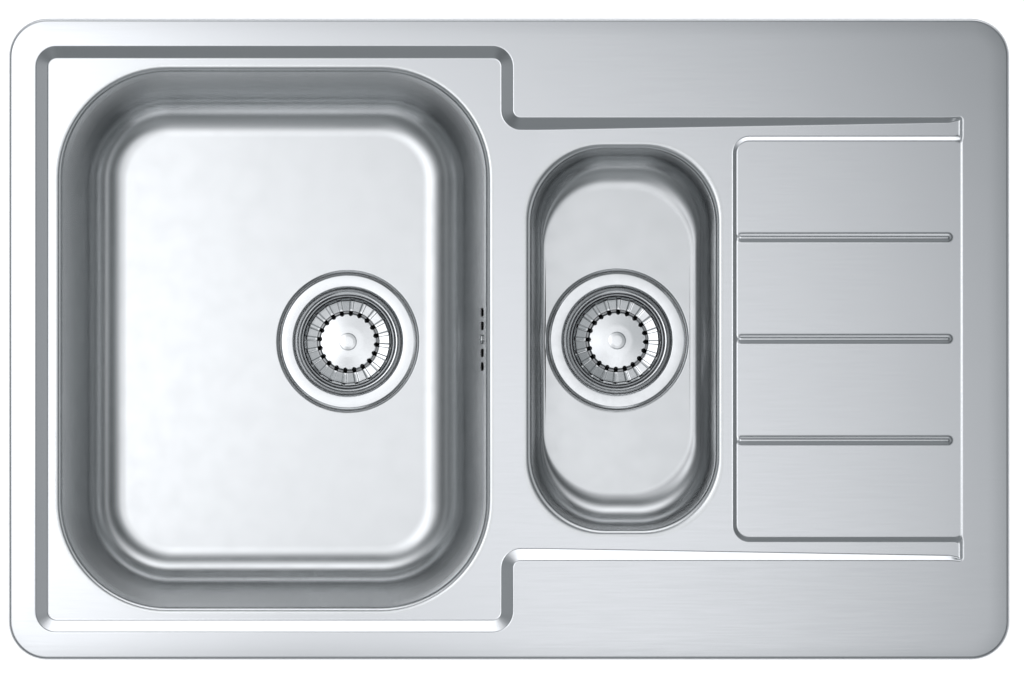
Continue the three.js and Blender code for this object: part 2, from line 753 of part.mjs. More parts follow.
// The hose leaves the housing along the bowl's wall and bends under the bowl to the waste.
function hosePath() {
  const down = new THREE.Vector3(-Math.sin(mainBowlDraft), 0, -Math.cos(mainBowlDraft));
  const across = new THREE.Vector3(-1, 0, 0);
  const normal = new THREE.Vector3(Math.cos(mainBowlDraft), 0, -Math.sin(mainBowlDraft));
  const start = new THREE.Vector3(overflowWallX + sheet / Math.cos(mainBowlDraft), 0, overflowZ)
    .addScaledVector(normal, spigotX)
    .addScaledVector(down, overflowHeight / 2 + collarLength + gap);
  const end = new THREE.Vector3(mainWasteX + portReach + gap, 0, mainFloor - portDrop);
  const toCorner = (start.z - end.z) / Math.cos(mainBowlDraft);
  const corner = start.clone().addScaledVector(down, toCorner);
  const tangent = hoseBend * Math.tan((Math.PI / 2 - mainBowlDraft) / 2);
  const bendStart = corner.clone().addScaledVector(down, -tangent);
  const bendEnd = corner.clone().addScaledVector(across, tangent);
  const centre = bendEnd.clone().add(new THREE.Vector3(0, 0, hoseBend));
  const turn = Math.PI / 2 - mainBowlDraft;
  const fall = bendStart.distanceTo(start);
  const bend = turn * hoseBend;
  const length = fall + bend + bendEnd.distanceTo(end);
  // Centre and outward direction (away from the bend's centre) at a length along the hose.
  const at = (s) => {
    if (s < fall) return { point: start.clone().addScaledVector(down, s), side: normal };
    const angle = Math.min(s - fall, bend) / hoseBend + mainBowlDraft;
    const side = new THREE.Vector3(Math.cos(angle), 0, -Math.sin(angle));
    const point = centre.clone().addScaledVector(side, hoseBend);
    return { point: point.addScaledVector(across, Math.max(s - fall - bend, 0)), side };
  };
  return { at, length };
}

// A ribbed tube: two rings a rib, a plain bore, and a flat end at each side.
function overflowHose() {
  const { at, length } = hosePath();
  const ribs = Math.round(length / hosePitch);
  const points = 8;
  const across = new THREE.Vector3(0, 1, 0);
  const ringAt = (s, radius) => {
    const { point, side } = at(s);
    return Array.from({ length: points }, (_, k) => {
      const angle = ((k + 0.5) / points) * 2 * Math.PI;
      return point.clone()
        .addScaledVector(side, radius * Math.cos(angle))
        .addScaledVector(across, radius * Math.sin(angle));
    });
  };
  const grooved = Array.from({ length: 2 * ribs + 1 }, (_, i) =>
    ringAt((i / (2 * ribs)) * length, i % 2 ? hoseRadius : hoseRadius - hoseGroove));
  const boreCount = Math.ceil(ribs / 5);
  const bored = Array.from({ length: boreCount + 1 }, (_, i) =>
    ringAt((1 - i / boreCount) * length, hoseBore / Math.cos(Math.PI / points)));
  const rings = [...grooved, ...bored];
  const index = [];
  rings.forEach((_, i) => {
    const next = ((i + 1) % rings.length) * points;
    for (let j = 0; j < points; j += 1) {
      const a = i * points + j;
      const b = i * points + ((j + 1) % points);
      const c = next + ((j + 1) % points);
      const d = next + j;
      index.push(a, b, c, a, c, d);
    }
  });
  const geometry = new THREE.BufferGeometry();
  const position = rings.flat().flatMap((p) => p.toArray());
  geometry.setAttribute('position', new THREE.Float32BufferAttribute(position, 3));
  geometry.setIndex(index);
  return piece('overflow_hose', geometry, darkPlastic);
}

// ---------------------------------------------------------------- fixing clamps

const shelfTop = -lugDrop;
const shelfBottom = shelfTop - lugSheet;
const clawTop = -worktop - clawRise;
const clawBottom = clawTop - clawThickness;
const washerTop = clawBottom - gap;
const headTop = washerTop - washerThickness - gap;

// Built with +X pointing out of the sink and X = 0 at its outer edge.
function clamp(number, x, y, turn) {
  const group = new THREE.Group();
  group.position.set(x, y, 0);
  group.rotation.z = turn;
  const top = rimTop - sheet - gap;
  const leg = -lugInset;
  const strip = drawnOut([
    [leg, top], [leg - lugFoot, top], [leg - lugFoot, top - lugSheet],
    [leg - lugSheet, top - lugSheet], [leg - lugSheet, shelfTop], [leg - lugReach, shelfTop],
    [leg - lugReach, shelfBottom], [leg, shelfBottom],
  ], lugWidth);
  const onAxis = (geometry) => geometry.translate(-screwInset, 0, 0);
  const nut = onAxis(rod(nutRadius, shelfTop - gap, shelfTop + nutHeight, 6));
  const thread = onAxis(rod(screwRadius + gap, shelfBottom - 1, shelfTop + nutHeight + 1));
  const lug = cut(join(strip, nut), thread);

  const screw = join(
    onAxis(rod(screwRadius, headTop - 1, shelfTop + nutHeight + screwAboveNut)),
    onAxis(rod(screwHeadRadius, headTop - screwHeadHeight, headTop, 6)),
  );
  const washer = onAxis(revolve([
    [screwRadius + gap, washerTop - washerThickness],
    [washerRadius, washerTop - washerThickness],
    [washerRadius, washerTop],
    [screwRadius + gap, washerTop],
  ], smallSides));

  const tip = -clawTipInset;
  const tail = -screwInset - clawTail;
  const bar = solid(drawnOut([
    [tail, clawBottom], [tip - clawThickness, clawBottom], [tip, clawTop - gap],
    [tip, -worktop], [tip - clawThickness, -worktop], [tip - clawThickness, clawTop + gap],
    [tip - 2 * clawThickness, clawTop], [tail, clawTop],
  ], clawWidth));
  const notches = [-1, 0, 1].map((place) =>
    box(-1, 1, -1, 1, -1, 1).rotateX(Math.PI / 4)
      .scale(2 * clawThickness, 1, 1)
      .translate(tip, place * clawWidth / 4, -worktop));
  const claw = cut(bar, ...notches, onAxis(rod(screwRadius + gap, clawBottom - 1, clawTop + 1)));
  group.add(
    piece(`clamp_${number}_lug`, lug, stainless),
    piece(`clamp_${number}_screw`, screw, zinc),
    piece(`clamp_${number}_washer`, washer, zinc),
    piece(`clamp_${number}_claw`, claw, zinc),
  );
  return group;
}

// ---------------------------------------------------------------- the whole sink

const sink = new THREE.Group();
sink.add(deck(), mainBowl(), halfBowl(), bowlPad(), rimSeal());
sink.add(waste('main', mainWasteX, mainFloor, true));
sink.add(waste('half', halfWasteX, halfFloor, false));
sink.add(overflow(), overflowHose());
[
  [-clampOffset, sinkDepth / 2, Math.PI / 2],
  [clampOffset, sinkDepth / 2, Math.PI / 2],
  [sinkLength / 2, 0, 0],
  [clampOffset, -sinkDepth / 2, -Math.PI / 2],
  [-clampOffset, -sinkDepth / 2, -Math.PI / 2],
  [-sinkLength / 2, 0, Math.PI],
].forEach(([x, y, turn], i) => sink.add(clamp(i + 1, x, y, turn)));

export default sink;
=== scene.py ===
# %% [markdown]
# # A kitchen sink with a drainboard
#
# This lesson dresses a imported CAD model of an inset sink: one and a half bowls and a ribbed
# drainer, pressed from stainless sheet, with two basket wastes, an overflow and the clamps that
# hold it in a worktop. The CAD model is the frame. It says where everything is, and nothing
# here moves it. All the looks are built round it, in metres, in the same place.

# %% Load the frame
import math
import bpy
import bmesh
import numpy as np
from mathutils import Matrix, Vector
from mathutils.geometry import delaunay_2d_cdt


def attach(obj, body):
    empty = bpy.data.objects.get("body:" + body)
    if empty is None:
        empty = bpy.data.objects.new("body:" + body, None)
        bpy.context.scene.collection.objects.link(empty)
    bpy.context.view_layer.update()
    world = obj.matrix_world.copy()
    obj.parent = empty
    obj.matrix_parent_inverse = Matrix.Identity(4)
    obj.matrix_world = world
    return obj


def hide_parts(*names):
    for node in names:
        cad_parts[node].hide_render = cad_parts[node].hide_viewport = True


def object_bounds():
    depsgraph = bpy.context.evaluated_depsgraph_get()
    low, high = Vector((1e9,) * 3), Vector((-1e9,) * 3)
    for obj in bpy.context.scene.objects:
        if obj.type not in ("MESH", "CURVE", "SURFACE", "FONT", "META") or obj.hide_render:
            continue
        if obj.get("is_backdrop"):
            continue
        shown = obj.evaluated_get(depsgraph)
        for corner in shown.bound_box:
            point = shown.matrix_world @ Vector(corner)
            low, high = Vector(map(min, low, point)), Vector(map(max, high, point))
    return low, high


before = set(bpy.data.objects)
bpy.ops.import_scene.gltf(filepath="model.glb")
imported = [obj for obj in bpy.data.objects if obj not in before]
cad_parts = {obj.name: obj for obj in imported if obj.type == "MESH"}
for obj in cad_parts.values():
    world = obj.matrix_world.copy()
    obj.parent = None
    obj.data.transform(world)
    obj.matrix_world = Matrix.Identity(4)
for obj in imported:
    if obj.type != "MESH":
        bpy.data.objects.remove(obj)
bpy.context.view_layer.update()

# %% [markdown]
# ## Sizes
#
# The pressed sheet is a shape with a rule: a flat rim, a sloping step down to a tray, and in the
# tray a plateau with three ribs. So its sizes are named once, in millimetres, and every surface
# below is worked out from them. They are the CAD source's sizes, set right by a millimetre or
# two where the real sink's edges show them better.

# %% Sizes of the sheet
LENGTH, DEPTH, CORNER = 780.0, 500.0, 30.0
RIM, TRAY, SHEET = 4.0, -2.0, 0.8
EDGE_ROLL = 2.5
RIM_BAND, END_BAND, STEP_WIDTH = 21.7, 37.0, 9.3
TRAY_CORNER, JOG, END_CORNER = 16.0, 6.0, 2.2
DRAINER_HALF, END_DROP = 172.5, 2.3

# Each bowl's left and right edge, half its depth from back to front, and its corners' radius.
MAIN_LEFT, MAIN_RIGHT, MAIN_HALF, MAIN_CORNER = MAIN = (-353.3, -13.3, 213.3, 87.0)
HALF_LEFT, HALF_RIGHT, HALF_HALF, HALF_CORNER = HALF = (12.7, 165.5, 152.9, 59.0)

LEFT_LAND, JOG_LAND, RAMP_LAND, PLATEAU_LAND = 15.6, 16.4, 17.0, 8.6
TRAY_LEFT, TRAY_RIGHT = MAIN_LEFT - LEFT_LAND, LENGTH / 2 - END_BAND
TRAY_HALF = DEPTH / 2 - RIM_BAND
JOG_X = MAIN_RIGHT + JOG_LAND

PLATEAU_LEFT, PLATEAU_HALF = HALF_RIGHT + PLATEAU_LAND, 157.9
PLATEAU_RISE, PLATEAU_STEP, PLATEAU_CORNER = 1.9, 3.4, 13.0
RIB_PITCH, RIB_WIDTH, RIB_RISE = 79.0, 8.7, 1.2
RIB_START, RIB_END = PLATEAU_LEFT + 2.3, TRAY_RIGHT - 7.0
RAMP_START, RAMP_BEND = JOG_X + RAMP_LAND, 8.0
RAMP_SLOPE = (RIM - TRAY - END_DROP) / (TRAY_RIGHT - RAMP_START)
print("tray from", round(TRAY_LEFT, 1), "to", round(TRAY_RIGHT, 1), "ramp slope", round(RAMP_SLOPE, 4))

# %% [markdown]
# ## Contours with rounded corners
#
# Every edge of the sheet is a right-angled outline with rounded corners. A contour is the same
# outline moved inwards by some distance, and always has the same number of points, so two
# contours can be joined face by face. The distance may differ from point to point: on the
# drainer the tray rises, and the step's foot moves outwards with it.

# %% Contours
def turns(corners):
    """Corner places, radii, the directions in and out of each, and +1 where it turns left."""
    place = np.array([c[:2] for c in corners], float)
    radius = np.array([c[2] for c in corners], float)
    into = place - np.roll(place, 1, 0)
    into /= np.linalg.norm(into, axis=1)[:, None]
    out = np.roll(into, -1, 0)
    turn = np.sign(into[:, 0] * out[:, 1] - into[:, 1] * out[:, 0])
    return place, radius, into, out, turn


def stations(corners, arc=14, spacing=6.0):
    """Where a contour's points are: (corner, share of its arc or -1, share of the next edge)."""
    place, radius, *_ = turns(corners)
    found = []
    for i, gap in enumerate(np.broadcast_to(spacing, len(corners))):
        j = (i + 1) % len(corners)
        found += [(i, k / arc, 0.0) for k in range(arc + 1)]
        length = np.linalg.norm(place[j] - place[i]) - radius[i] - radius[j]
        count = max(1, math.ceil(length / gap))
        found += [(i, -1.0, k / count) for k in range(1, count)]
    return np.array(found)


def contour(corners, where, inset=0.0):
    """The contour's points, moved inwards by one distance or by one for each point."""
    place, radius, into, out, turn = turns(corners)
    i = where[:, 0].astype(int)
    j = (i + 1) % len(corners)
    inset = np.broadcast_to(np.asarray(inset, float), i.shape)[:, None]

    def shifted(k):
        return place[k] + inset * np.stack([-into[k, 1] - out[k, 1], into[k, 0] + out[k, 0]], 1)

    def tight(k):
        return np.maximum(radius[k][:, None] - turn[k][:, None] * inset, 0.3)

    angle = (where[:, 1] * math.pi / 2)[:, None]
    arc = shifted(i) + tight(i) * (out[i] * (1 - np.cos(angle)) - into[i] * (1 - np.sin(angle)))
    start = shifted(i) + tight(i) * out[i]
    end = shifted(j) - tight(j) * into[j]
    edge = start + where[:, 2:3] * (end - start)
    return np.where(where[:, 1:2] >= 0, arc, edge)


def box_corners(x0, x1, half, radius, y=0.0):
    return [(x0, y - half, radius), (x1, y - half, radius), (x1, y + half, radius), (x0, y + half, radius)]


OUTLINE = box_corners(-LENGTH / 2, LENGTH / 2, DEPTH / 2, CORNER)
TRAY_LINE = [
    (TRAY_LEFT, -TRAY_HALF, TRAY_CORNER), (JOG_X, -TRAY_HALF, TRAY_CORNER),
    (JOG_X, -DRAINER_HALF, JOG), (TRAY_RIGHT, -DRAINER_HALF, END_CORNER),
    (TRAY_RIGHT, DRAINER_HALF, END_CORNER), (JOG_X, DRAINER_HALF, JOG),
    (JOG_X, TRAY_HALF, TRAY_CORNER), (TRAY_LEFT, TRAY_HALF, TRAY_CORNER),
]
PLATEAU_LINE = box_corners(PLATEAU_LEFT, LENGTH / 2 + 60, PLATEAU_HALF, PLATEAU_CORNER)
print("points round the tray", len(stations(TRAY_LINE)))


# %% [markdown]
# ## How far inside an edge a point is
#
# The height of the sheet at a point depends on how far the point is inside each edge. The
# distance to a rounded outline is exact: straight stretches give a distance to a line, and
# corners a distance to an arc.

# %% Distance inside a contour
def inside(corners, x, y):
    """Signed distance from a rounded outline, positive inside it."""
    place, radius, into, out, turn = turns(corners)
    best = np.full(np.shape(x), 1e9)
    for i in range(len(corners)):
        j = (i + 1) % len(corners)
        first = place[i] + out[i] * radius[i]
        length = np.linalg.norm(place[j] - place[i]) - radius[i] - radius[j]
        along = (x - first[0]) * out[i, 0] + (y - first[1]) * out[i, 1]
        across = out[i, 0] * (y - first[1]) - out[i, 1] * (x - first[0])
        near = (along >= 0) & (along <= length) & (np.abs(across) < np.abs(best))
        best = np.where(near, across, best)
        centre = place[i] + (out[i] - into[i]) * radius[i]
        dx, dy = x - centre[0], y - centre[1]
        sector = (-dx * out[i, 0] - dy * out[i, 1] >= 0) & (dx * into[i, 0] + dy * into[i, 1] >= 0)
        reach = turn[i] * (radius[i] - np.hypot(dx, dy))
        best = np.where(sector & (np.abs(reach) < np.abs(best)), reach, best)
    return best


print("middle of the sheet is inside its edge by", float(inside(OUTLINE, np.zeros(1), np.zeros(1))[0]))


# %% [markdown]
# ## A pressed step
#
# A press can't make a sharp fold. Each step in the sheet is a slope between two arcs, one over
# the punch and one in the die, and the thin bright and dark lines along the real sink's edges
# are the reflections in those arcs. Where a step is low, the arcs meet before they reach the
# full slope, which is why the drainer's end shows as one thin line.

# %% The step's profile
def step_shape(drop, slope, top_radius, foot_radius):
    """The slope's angle, less where a low step has no room for it, and its straight part in plan."""
    shallow = np.arccos(np.clip(1 - np.maximum(drop, 1e-6) / (top_radius + foot_radius), -1, 1))
    angle = np.minimum(slope, shallow)
    return angle, np.maximum(drop - (top_radius + foot_radius) * (1 - np.cos(angle)), 0) / np.tan(angle)


def step(distance, drop, slope, top_radius, foot_radius):
    """Depth below the upper level at a distance inside the step's upper edge."""
    angle, flat = step_shape(drop, slope, top_radius, foot_radius)
    first = top_radius * np.sin(angle)
    last = foot_radius * np.sin(angle)
    u = distance + top_radius * np.tan(angle / 2)
    over = top_radius - np.sqrt(np.maximum(top_radius**2 - np.clip(u, 0, first) ** 2, 0))
    down = over + np.clip(u - first, 0, flat) * np.tan(angle)
    left = np.clip(first + flat + last - u, 0, last)
    under = foot_radius - np.sqrt(np.maximum(foot_radius**2 - left**2, 0))
    return np.where(u <= 0, 0, np.where(u < first + flat, down, drop - under))


def step_places(drop, slope, top_radius, foot_radius, bends=5):
    """Distances inside the upper edge where the profile needs a line of points."""
    angle, flat = step_shape(drop, slope, top_radius, foot_radius)
    start = -top_radius * np.tan(angle / 2)
    end = start + (top_radius + foot_radius) * np.sin(angle) + flat
    top = [start + top_radius * np.sin(angle * k / bends) for k in range(bends + 1)]
    foot = [end - foot_radius * np.sin(angle * k / bends) for k in range(bends, -1, -1)]
    return [start - 0.5, *top, *foot, end + 0.5]


def tray_step(x):
    """The tray step's slope and arcs: steeper at the drainer's end than all round."""
    slopes = [math.atan((RIM - TRAY) / STEP_WIDTH), math.radians(56)]
    return np.interp(x, [TRAY_RIGHT - 9.0, TRAY_RIGHT - 3.0], slopes), 2.2, 2.4


PLATEAU_SLOPE = (math.atan(PLATEAU_RISE / PLATEAU_STEP), 2.5, 2.3)
print("the tray's step slopes", round(math.degrees(float(tray_step(0.0)[0])), 1), "degrees")


# %% [markdown]
# ## The height of the sheet
#
# One function gives the sheet's height anywhere: rim, minus the step down to whatever is inside
# the tray, which is the flat tray, the ramp under the drainer, its plateau and its ribs. It is
# a height field, so the seams between these shapes take care of themselves. The rim is not
# quite flat: it sinks evenly towards its edge, which gives it a soft fall of light.

# %% Heights
CROWN_WIDTH, CROWN_SLOPE = 16.0, math.tan(math.radians(2.2))
RIB_PLACES = (-RIB_PITCH, 0.0, RIB_PITCH)


def tray_height(x):
    """Flat under the main bowl, then rising gently to the drainer's end."""
    past = x - RAMP_START
    bent = np.where(past < RAMP_BEND, past**2 / (2 * RAMP_BEND), past - RAMP_BEND / 2)
    return TRAY + RAMP_SLOPE * np.where(past <= 0, 0, bent)


def rib_height(x, y):
    rise, half = 0.0, RIB_WIDTH / 2
    beyond = np.maximum(np.maximum(RIB_START + half - x, x - RIB_END + half), 0)
    for place in RIB_PLACES:
        away = np.minimum(np.hypot(beyond, y - place) / half, 1)
        rise = rise + RIB_RISE * (0.5 + 0.5 * np.cos(math.pi * away))
    return rise


def inner_height(x, y):
    up = PLATEAU_RISE - step(PLATEAU_STEP - inside(PLATEAU_LINE, x, y), PLATEAU_RISE, *PLATEAU_SLOPE)
    return tray_height(x) + up + rib_height(x, y)


def crowned(distance):
    """How far the rim has sunk at a distance inside the outer edge."""
    return CROWN_SLOPE * np.maximum(CROWN_WIDTH - distance, 0) ** 2 / (2 * CROWN_WIDTH)


def sheet_height(x, y):
    top = RIM - step(inside(TRAY_LINE, x, y), RIM - inner_height(x, y), *tray_step(x))
    within = inside(OUTLINE, x, y)
    edge = EDGE_ROLL - np.clip(within, 0, EDGE_ROLL)
    return top - crowned(within) - (EDGE_ROLL - np.sqrt(EDGE_ROLL**2 - edge**2))


test_x = np.array([0.0, 250.0, 300.0, 380.0])
print("heights along the middle", np.round(sheet_height(test_x, np.zeros(4)), 2))


# %% [markdown]
# ## Triangles between the lines
#
# The flats need no points, and the arcs need many. So lines of points are laid along each edge,
# and a constrained Delaunay triangulation fills between them. Its triangles are then dropped
# where the bowls open. A grid fine enough for the arcs would take fifty times as many faces.

# %% Filling between lines of points
def fill(lines, keep):
    """Points and triangles between closed or open lines, where keep says the middle belongs."""
    points, edges = [], []
    for line, closed in lines:
        first = len(points)
        points += [Vector((float(x), float(y))) for x, y in line]
        edges += [(first + k, first + k + 1) for k in range(len(line) - 1)]
        if closed:
            edges.append((len(points) - 1, first))
    made, _, faces, *_ = delaunay_2d_cdt(points, edges, [], 0, 1e-5)
    flat = np.array([p[:] for p in made])
    tri = np.array([f for f in faces if len(f) == 3])
    a, b, c = (flat[tri[:, k]] for k in range(3))
    area = (b[:, 0] - a[:, 0]) * (c[:, 1] - a[:, 1]) - (b[:, 1] - a[:, 1]) * (c[:, 0] - a[:, 0])
    tri[area < 0] = tri[area < 0][:, ::-1]
    middle = (a + b + c) / 3
    tri = tri[keep(middle[:, 0], middle[:, 1]) & (np.abs(area) > 1e-7)]
    used = np.unique(tri)
    index = np.full(len(flat), -1)
    index[used] = np.arange(len(used))
    return flat[used], index[tri].tolist()


def rows(lines):
    """Points and quads between closed lines that all have the same number of points."""
    count = len(lines[0])
    faces = []
    for i in range(len(lines) - 1):
        for j in range(count):
            a, b = i * count + j, i * count + (j + 1) % count
            faces.append((a, b, b + count, a + count))
    return np.concatenate(lines), faces


def at_height(line, z):
    return np.column_stack([line, np.full(len(line), z)])


def mesh_from(name, *parts):
    """A mesh in metres from parts of points and faces in millimetres, joined where they touch."""
    bm = bmesh.new()
    for points, faces in parts:
        corners = [bm.verts.new(p) for p in np.asarray(points) / 1000]
        for face in faces:
            bm.faces.new([corners[k] for k in face])
    bmesh.ops.remove_doubles(bm, verts=bm.verts, dist=2e-6)
    return mesh_of(bm, bpy.data.meshes.new(name))


def mesh_of(bm, mesh):
    bm.to_mesh(mesh)
    bm.free()
    return mesh


# %% [markdown]
# ## Nodes and colours
#
# A material is a small graph of nodes. One function adds a node with its settings, its inputs
# and its links. Colours are written as on a screen, in hex, and one more function turns them
# to the linear values that a renderer computes with.


def linear(code, alpha=1.0):
    """A hex colour as linear red, green, blue and alpha."""
    value = [int(code[k:k + 2], 16) / 255 for k in (1, 3, 5)]
    return (*[v / 12.92 if v <= 0.04045 else ((v + 0.055) / 1.055) ** 2.4 for v in value], alpha)


def add(tree, kind, inputs=None, **settings):
    """Adds a node and gives its outputs. An input takes a value, or an output to be linked to it."""
    made = tree.nodes.new(kind)
    for name, value in settings.items():
        setattr(made, name, value)
    for name, value in (inputs or {}).items():
        if isinstance(value, bpy.types.NodeSocket):
            tree.links.new(value, made.inputs[name])
        else:
            made.inputs[name].default_value = value
    return made.outputs


def surface(name, slot, colour, metallic, roughness, spread, depth, scale, stretch=None):
    """A finish: its colour, a roughness that varies by a pattern, and bumps of a depth in metres."""
    made = bpy.data.materials.new(name)
    made.use_nodes = True
    tree = made.node_tree
    shader = tree.nodes["Principled BSDF"].inputs
    shader["Base Color"].default_value = linear(colour)
    shader["Metallic"].default_value = metallic
    where = add(tree, "ShaderNodeTexCoord")["Object"]
    if stretch:
        drawn_out = add(tree, "ShaderNodeMapping", {"Vector": where, "Scale": stretch})[0]
        grain = add(tree, "ShaderNodeTexNoise", {"Vector": drawn_out, "Scale": 1.0, "Detail": 3.0})["Fac"]
        height = add(tree, "ShaderNodeTexNoise", {"Vector": where, "Scale": scale, "Detail": 1.0})["Fac"]
    else:
        height = add(tree, "ShaderNodeTexNoise", {"Vector": where, "Scale": scale, "Detail": 4.0})["Fac"]
        grain = height
    rough = add(tree, "ShaderNodeMapRange", {
        "Value": grain, "From Min": 0.3, "From Max": 0.7,
        "To Min": roughness - spread, "To Max": roughness + spread})
    bump = add(tree, "ShaderNodeBump", {"Height": height, "Strength": 1.0, "Distance": depth})
    tree.links.new(rough[0], shader["Roughness"])
    tree.links.new(bump[0], shader["Normal"])
    return made


# %% [markdown]
# ## Satin stainless steel
#
# The sheet is austenitic stainless steel, cold rolled and then brushed along its length. The
# brushing leaves scratches a few tenths of a millimetre apart, too fine to see one by one. What
# shows is a soft reflection that is smeared a little, and slight waves, since a pressed sheet
# is never quite flat. The scratches are drawn as a roughness pattern stretched along X, coarser
# than the real ones so that it survives at this size.

# %% Satin stainless steel
def stainless(name, colour, roughness, stretch, wave, spread=0.02):
    """Steel sheet: a stretched pattern of scratches, and waves about 70 mm long."""
    return surface(name, "stainless_sheet", colour, 1.0, roughness, spread, wave, 14.0, stretch)


SATIN = stainless("satin_brushed_stainless_steel", "#CFD1D3", 0.2, (30.0, 900.0, 900.0), 0.00006)


# %% [markdown]
# ## Finishing a piece
#
# A finished piece has its material, smooth shading that stops at real edges, the CAD body it
# rides on and the CAD node that it stands for. Giving a sheet its thickness also belongs here:
# Solidify grows the wall downwards, away from the face that was drawn. A mesh can also carry
# an attribute of painted shade, which pulls its finish towards a darker colour from point to
# point.

# %% Helpers for pieces
def with_painted_shade(made, colour, bands=0.0):
    """Paints shade: a mesh's attribute pulls a finish towards a darker colour, in level bands if wanted."""
    tree = made.node_tree
    base = tree.nodes["Principled BSDF"].inputs["Base Color"]
    share = add(tree, "ShaderNodeAttribute", attribute_name="dull")["Fac"]
    # The level bands break the painted shade into streaks, like the streaks of reflected light along a bowl's
    # walls.
    if bands:
        where = add(tree, "ShaderNodeTexCoord")["Object"]
        level = add(tree, "ShaderNodeSeparateXYZ", {"Vector": where})["Z"]
        noise = add(tree, "ShaderNodeTexNoise", {"W": level, "Scale": 110.0, "Detail": 4.0},
                    noise_dimensions="1D")
        amount = add(tree, "ShaderNodeMapRange", {
            "Value": noise["Fac"], "From Min": 0.3, "From Max": 0.7, "To Min": 1 - bands, "To Max": 1 + bands})
        share = add(tree, "ShaderNodeMath", {0: share, 1: amount[0]}, operation="MULTIPLY")[0]
    pair = {0: share, 6: tuple(base.default_value), 7: linear(colour)}
    tree.links.new(add(tree, "ShaderNodeMix", pair, data_type="RGBA")[2], base)
    return made


def paint_shade_where(mesh, share_at):
    """Sets the painted shade from each point's place in millimetres, on faces that look up."""
    co, normal = (np.empty(len(mesh.vertices) * 3) for _ in range(2))
    mesh.vertices.foreach_get("co", co)
    mesh.vertices.foreach_get("normal", normal)
    up = normal.reshape(-1, 3)[:, 2]
    share = np.where(up > -0.02, share_at(*co.reshape(-1, 3).T * 1000), 0)
    mesh.attributes.new("dull", "FLOAT", "POINT").data.foreach_set("value", share.astype(np.float32))
    return mesh


def by_radius(centre, radii, shares):
    return lambda x, y, z: np.interp(np.hypot(x - centre[0], y - centre[1]), radii, shares)


def linked(name, mesh):
    made = bpy.data.objects.new(name, mesh)
    bpy.context.scene.collection.objects.link(made)
    return made


def piece(node, how, mesh, finish, body="sink", sharp=32):
    """Dresses one CAD node. The piece is named for the node and for how it is made."""
    made = linked(f"{node}_{how}", mesh)
    mesh.materials.clear()
    mesh.materials.append(finish)
    mesh.shade_smooth()
    mesh.set_sharp_from_angle(angle=math.radians(sharp))
    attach(made, body)
    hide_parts(node)
    print(made.name, "faces", len(mesh.polygons))


def with_wall(holder, thickness):
    """Adds the modifier that gives a sheet a back face, a rim and a thickness in millimetres."""
    wall = holder.modifiers.new("wall", "SOLIDIFY")
    wall.thickness, wall.offset, wall.use_even_offset = thickness / 1000, -1.0, True
    return baked(holder)


def baked(holder):
    """The mesh that an object's modifiers make, and the object removed."""
    bpy.context.view_layer.update()
    graph = bpy.context.evaluated_depsgraph_get()
    made = bpy.data.meshes.new_from_object(holder.evaluated_get(graph))
    bpy.data.objects.remove(holder)
    return made


BOWL_SATIN = stainless("satin_drawn_stainless_steel", "#D3D5D6", 0.25, (60.0, 60.0, 20.0), 0.00006)
# Painted shade on the bowls: their walls darken towards #5E6062, in level bands.
with_painted_shade(BOWL_SATIN, "#5E6062", 0.35)


# %% [markdown]
# ## Bowls
#
# Each bowl is drawn from flat sheet in a deep press. Its section is a lip arc, a wall that
# leans a little so that the bowl leaves the tool, and a wide arc into the floor. Seen from
# above, its corners tighten towards the floor. So a bowl is a stack of contours, one for each
# point of its section, and the floor is filled between the last contour and the waste's recess.
# The half bowl's lip is then lifted to follow the tray, which already rises there.

# %% A bowl's contours
LIP, SEAM = 5.0, 1.5
MAIN_FLOOR, HALF_FLOOR = -152.0, -84.0
DRAFT, HALF_DRAFT = math.radians(8), math.radians(3)
# How far the floor lies inside the opening at the left, the right, and the back and front.
MAIN_INSETS, HALF_INSETS = (50.6, 53.8, 50.6), (14.5, 22.4, 33.5)
HALF_FLOOR_CORNER = 50.0


def bowl_shape(left, right, half, radius, floor_radius, floor, draft, fillet, whole):
    wall_top = TRAY - LIP * (1 - math.sin(draft))
    wall_foot = floor + fillet * (1 - math.sin(draft))
    straight = LIP * math.cos(draft) + (wall_top - wall_foot) * math.tan(draft)
    where = stations(box_corners(left, right, half, radius), 20, 8.0)

    def line(insets, z):
        west, east, end = insets
        r = radius - (radius - floor_radius) * end / whole[2]
        return at_height(contour(box_corners(left + west, right - east, half - end, r), where), z)

    lines = [line((-SEAM,) * 3, TRAY), line((-0.5,) * 3, TRAY)]
    for k in range(9):
        angle = k / 8 * (math.pi / 2 - draft)
        lines.append(line((LIP * math.sin(angle),) * 3, TRAY - LIP + LIP * math.cos(angle)))
    for k in range(1, 8):
        z = wall_top + (wall_foot - wall_top) * k / 8
        lines.append(line((LIP * math.cos(draft) + (wall_top - z) * math.tan(draft),) * 3, z))
    for k in range(15):
        angle = draft + k / 14 * (math.pi / 2 - draft)
        share = (math.cos(draft) - math.cos(angle)) / math.cos(draft)
        insets = tuple(straight + (side - straight) * share for side in whole)
        lines.append(line(insets, floor + fillet * (1 - math.sin(angle))))
    lines.append(line(tuple(side + 1.5 for side in whole), floor))
    return lines


MAIN_LINES = bowl_shape(*MAIN, MAIN_CORNER - MAIN_INSETS[2], MAIN_FLOOR, DRAFT, 29.0, MAIN_INSETS)
HALF_LINES = bowl_shape(*HALF, HALF_FLOOR_CORNER, HALF_FLOOR, HALF_DRAFT, 24.0, HALF_INSETS)
for line in HALF_LINES:
    depth = np.clip((line[:, 2] - HALF_FLOOR) / (TRAY - HALF_FLOOR), 0, 1)
    line[:, 2] += depth**2 * (tray_height(line[:, 0]) - TRAY)
print("bowl contours", len(MAIN_LINES), "of", len(MAIN_LINES[0]), "and", len(HALF_LINES[0]), "points")
